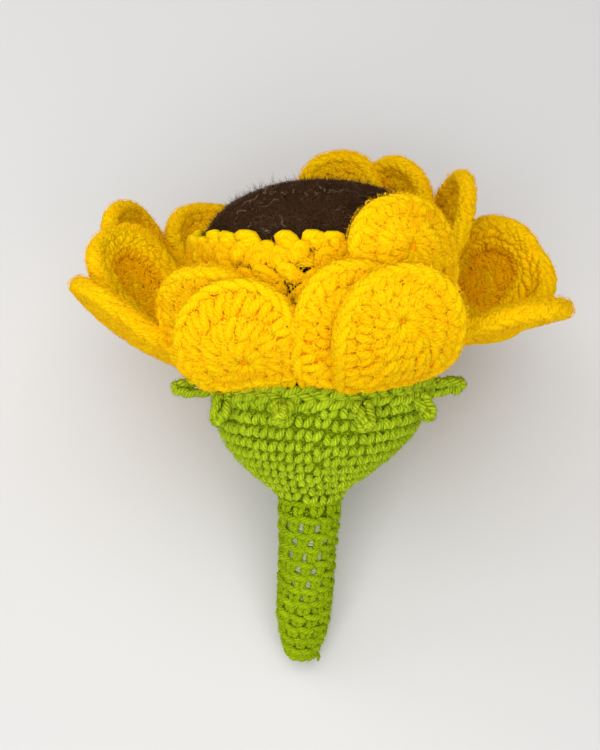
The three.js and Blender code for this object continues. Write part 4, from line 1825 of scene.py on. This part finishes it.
@dataclass(frozen=True)
class Curls:
    """Curly fibres that wander over a ball.

    Attributes:
        wave_rate: how fast a fibre winds on each step, in radians, at the least and the most.
        wave_size: how far it winds, in radians, at the least and the most.
        wander: how far its heading drifts on each step, in radians.
        stride_steps: the number of steps that the stride is meant for.
        ball_radius: the radius that turns a step round the ball into an angle.
        sway: how far it rises and falls.
        top_gap: how far it stays from the end of the ball's profile.
    """

    count: int
    steps: int
    lift: float
    thick: float
    sides: int = 3
    wave_rate: tuple[float, float] = (0.4, 1.2)
    wave_size: tuple[float, float] = (1.1, 2.3)
    wander: float = 0.12
    stride: tuple[float, float] = (0.06, 0.24)
    stride_steps: int = 54
    ball_radius: float = 30
    sway: float = 0.4
    sway_rate: float = 0.13
    top_gap: float = 1

    def lay(self, ball: TurnedSurface, u: Array, v: Array, rng: np.random.Generator) -> MeshParts:
        """Lays the fibres.

        Args:
            ball: the surface that they lie on.
            u: where round it they start.
            v: where along it they start.
            rng: the seeded source of their unevenness.

        Returns:
            The parts of their mesh.
        """
        each = (self.count, 1)
        run = np.arange(self.steps)[None, :]
        wave = np.sin(run * rng.uniform(*self.wave_rate, each) + rng.uniform(0, TURN, each))
        drift = np.cumsum(rng.normal(size=(self.count, self.steps)) * self.wander, axis=1)
        heading = rng.uniform(0, TURN, each) + wave * rng.uniform(*self.wave_size, each) + drift
        stride = rng.uniform(*self.stride, each) * (self.stride_steps / self.steps) ** 0.5
        du = np.cumsum(np.cos(heading) * stride, axis=1) / self.ball_radius
        place = v[:, None] + np.cumsum(np.sin(heading) * stride, axis=1)
        place = np.clip(place, 0, ball.length - self.top_gap)
        lift = self.lift + self.sway * np.sin(run * self.sway_rate) + 0 * du
        parts = MeshParts()
        thick = np.full((self.count, self.steps), self.thick)
        strands(parts, ball.at(u[:, None] + du, place, lift), thick, sides=self.sides)
        return parts


@dataclass
class SeedDome:
    """The stuffed brown ball, brushed until its rounds hardly show.

    Attributes:
        felt_lifts: how far off the ball the felt lies, at the least and the most.
        felt_reach: how far down from the top the felt and its halo grow.
        curl_from: how near the top the curls start, as a share of their reach, squared.
        hair_azimuth: where round the dome the hairs lie, in radians, and how far they spread.
        hair_span: how far down from the top they lie, at the least and the most.
    """

    foot: tuple[tuple[float, float], ...] = ((31.0, 4.8), (33.4, 6.4), (34.2, 15), (34.6, 30))
    radius: float = 34.8
    shoulder: float = 44.0
    top: float = 62.6
    tip_radius: float = 0.2
    skin_inset: float = 0.9
    skin_swell: float = 0.22
    felt: Nap = Nap(count=52000, reach=2.6, width=0.14, raised=0.7)
    felt_lifts: tuple[float, float] = (0.1, 1.1)
    felt_halo: Halo = Halo(count=20000, lift=0.6, length=0.85, width=0.08, stand=0.7)
    felt_reach: float = 46.0
    curls: Curls = Curls(count=560, steps=14, lift=1.3, thick=0.05)
    curl_reach: float = 44.0
    curl_from: float = 0.01
    hairs: Curls = Curls(count=26, steps=54, lift=1.5, thick=0.045)
    hair_azimuth: tuple[float, float] = (-0.55, 0.5)
    hair_span: tuple[float, float] = (16, 38)

    def surface(self, inset: float) -> TurnedSurface:
        """Gives the dome's surface from its foot to its top.

        Args:
            inset: how far inside the dome's outside it lies.

        Returns:
            The surface.
        """
        profile = list(self.foot)
        for turn in range(0, 90, 15):
            angle = math.radians(turn)
            profile.append((self.radius * math.cos(angle),
                            self.shoulder + (self.top - self.shoulder) * math.sin(angle)))
        profile.append((self.tip_radius, self.top))
        inner = [(max(radius - inset, self.tip_radius), z - inset) for radius, z in profile]
        return TurnedSurface(inner)

    def build(self, rng: np.random.Generator) -> None:
        """Builds the ball, its short felted fibres, its curls and the pale hairs that cling to it.

        Args:
            rng: the seeded source of unevenness.
        """
        dome = self.surface(self.skin_inset)
        parts = MeshParts()
        dome.skin(parts, rows=110, cols=120, swell=self.skin_swell)
        finish_piece(parts.build("dome_ball", BROWN.material()), Yarn.BROWN, "seed_dome")
        felt = MeshParts()
        u, v = self._scatter(dome, self.felt.count, self.felt_reach, 0, rng)
        self.felt.lay(felt, dome, u, v, rng.uniform(*self.felt_lifts, len(u)), rng)
        u, v = self._scatter(dome, self.felt_halo.count, self.felt_reach, 0, rng)
        self.felt_halo.lay(felt, dome, u, v, np.full(len(u), self.felt_halo.lift), rng)
        finish_piece(felt.build("dome_felt", BROWN_FUZZ.material()), Yarn.BROWN)
        u, v = self._scatter(dome, self.curls.count, self.curl_reach, self.curl_from, rng)
        curls = self.curls.lay(dome, u, v, rng)
        finish_piece(curls.build("dome_curls", BROWN_CURL.material()), Yarn.BROWN)
        count = self.hairs.count
        u, v = rng.normal(*self.hair_azimuth, count), dome.length - rng.uniform(*self.hair_span, count)
        hairs = self.hairs.lay(dome, u, v, rng)
        finish_piece(hairs.build("dome_hairs", PALE_HAIR.material()), Yarn.BROWN)

    def _scatter(self, dome: TurnedSurface, count: int, reach: float, start: float,
                 rng: np.random.Generator) -> tuple[Array, Array]:
        """Scatters places evenly over the top of the dome.

        Args:
            dome: the dome's surface.
            count: how many places.
            reach: how far down from the top they lie at the most.
            start: how near the top they start, as a share of that squared.
            rng: the seeded source of unevenness.

        Returns:
            The places' azimuths and their lengths along the profile.
        """
        u = rng.uniform(0, TURN, count)
        return u, dome.length - reach * np.sqrt(rng.uniform(start, 1, count))


@dataclass(frozen=True)
class Lamp:
    """A square soft lamp: where it hangs and its size in metres, and its power in watts."""

    name: str
    place: tuple[float, float, float]
    size: float
    power: float


@dataclass(frozen=True)
class Studio:
    """The table, the light and the camera.

    Attributes:
        focal_pixels: the lens's focal length, in pixels of the picture.
        aim_pixel: where in the picture the flower's centre comes to lie.
    """

    frame_width: int = 600
    frame_height: int = 750
    focal_pixels: float = 1100.0
    elevation: float = 70.0
    distance: float = 340.0
    aim_pixel: tuple[float, float] = (321.0, 386.0)
    sensor: float = 36.0
    table_half: float = 3.0
    table_colour: tuple[float, float, float] = (0.62, 0.61, 0.60)
    table_roughness: float = 0.7
    sky_colour: tuple[float, float, float] = (0.95, 0.97, 1)
    sky_strength: float = 0.26
    lamps: tuple[Lamp, ...] = (
        Lamp("front_left", (-0.22, -0.5, 0.62), size=0.45, power=2.6),
        Lamp("front_right", (0.22, -0.5, 0.62), size=0.45, power=1.75),
        Lamp("top", (0.0, 0.1, 0.8), size=0.7, power=3.9),
        Lamp("left", (-0.5, 0.3, 0.45), size=0.5, power=1.3),
    )
    lamp_aim: tuple[float, float, float] = (0, 0, 0.06)

    def build(self) -> None:
        """Sets the table, the lights and the camera up."""
        bpy.context.scene.view_settings.view_transform = "Standard"
        self._table()
        self._lights()
        self._camera()

    def _table(self) -> None:
        """Adds the pale table."""
        half = self.table_half
        mesh = bpy.data.meshes.new("table")
        corners = [(-half, -half, 0), (half, -half, 0), (half, half, 0), (-half, half, 0)]
        mesh.from_pydata(corners, [], [(0, 1, 2, 3)])
        table = bpy.data.objects.new("table", mesh)
        bpy.context.scene.collection.objects.link(table)
        finish = Nodes("pale_table")
        finish.feed(finish.shader.inputs["Base Color"], (*self.table_colour, 1))
        finish.feed(finish.shader.inputs["Roughness"], self.table_roughness)
        mesh.materials.append(finish.material)

    def _lights(self) -> None:
        """Adds the lamps and the light from all around."""
        scene = bpy.context.scene
        world = bpy.data.worlds.new("sky")
        world.use_nodes = True
        sky = world.node_tree.nodes["Background"].inputs
        sky["Color"].default_value = (*self.sky_colour, 1)
        sky["Strength"].default_value = self.sky_strength
        scene.world = world
        for lamp in self.lamps:
            light = bpy.data.lights.new(lamp.name, "AREA")
            light.size = lamp.size
            light.energy = lamp.power
            holder = bpy.data.objects.new(lamp.name, light)
            holder.location = lamp.place
            way = Vector(self.lamp_aim) - Vector(lamp.place)
            holder.rotation_euler = way.to_track_quat("-Z", "Y").to_euler()
            scene.collection.objects.link(holder)

    def _camera(self) -> None:
        """Adds the camera at the photograph's angle above the table."""
        lens = bpy.data.cameras.new("camera")
        lens.sensor_width = self.sensor
        lens.lens = self.sensor * self.focal_pixels / self.frame_height
        camera = bpy.data.objects.new("camera", lens)
        tilt = math.radians(self.elevation)
        ahead = Vector((0, math.cos(tilt), -math.sin(tilt)))
        right = Vector((1, 0, 0))
        up = right.cross(ahead)
        across = (self.aim_pixel[0] - self.frame_width / 2) / self.focal_pixels
        down = (self.aim_pixel[1] - self.frame_height / 2) / self.focal_pixels
        ray = ahead + right * across - up * down
        place = Vector(POSE.seat) - ray * self.distance
        turn = Matrix((right, up, -ahead)).transposed()
        camera.matrix_world = Matrix.Translation(place * MM) @ turn.to_4x4()
        bpy.context.scene.collection.objects.link(camera)
        bpy.context.scene.camera = camera


def main() -> None:
    """Builds the flower piece by piece around the loaded frame."""
    logging.basicConfig(level=logging.INFO, format="%(name)s %(message)s")
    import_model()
    rng = np.random.default_rng(SEED)
    Studio().build()
    line = MiddleLine()
    Stem(line).build(rng)
    CalyxBowl(line).build(rng)
    Sepals().build(rng)
    for name, petals in PETAL_RINGS.items():
        PetalRing(name, petals).build(rng)
    ScallopedBand().build(rng)
    SeedDome().build(rng)
    bpy.context.view_layer.update()


if __name__ == "__main__":
    main()
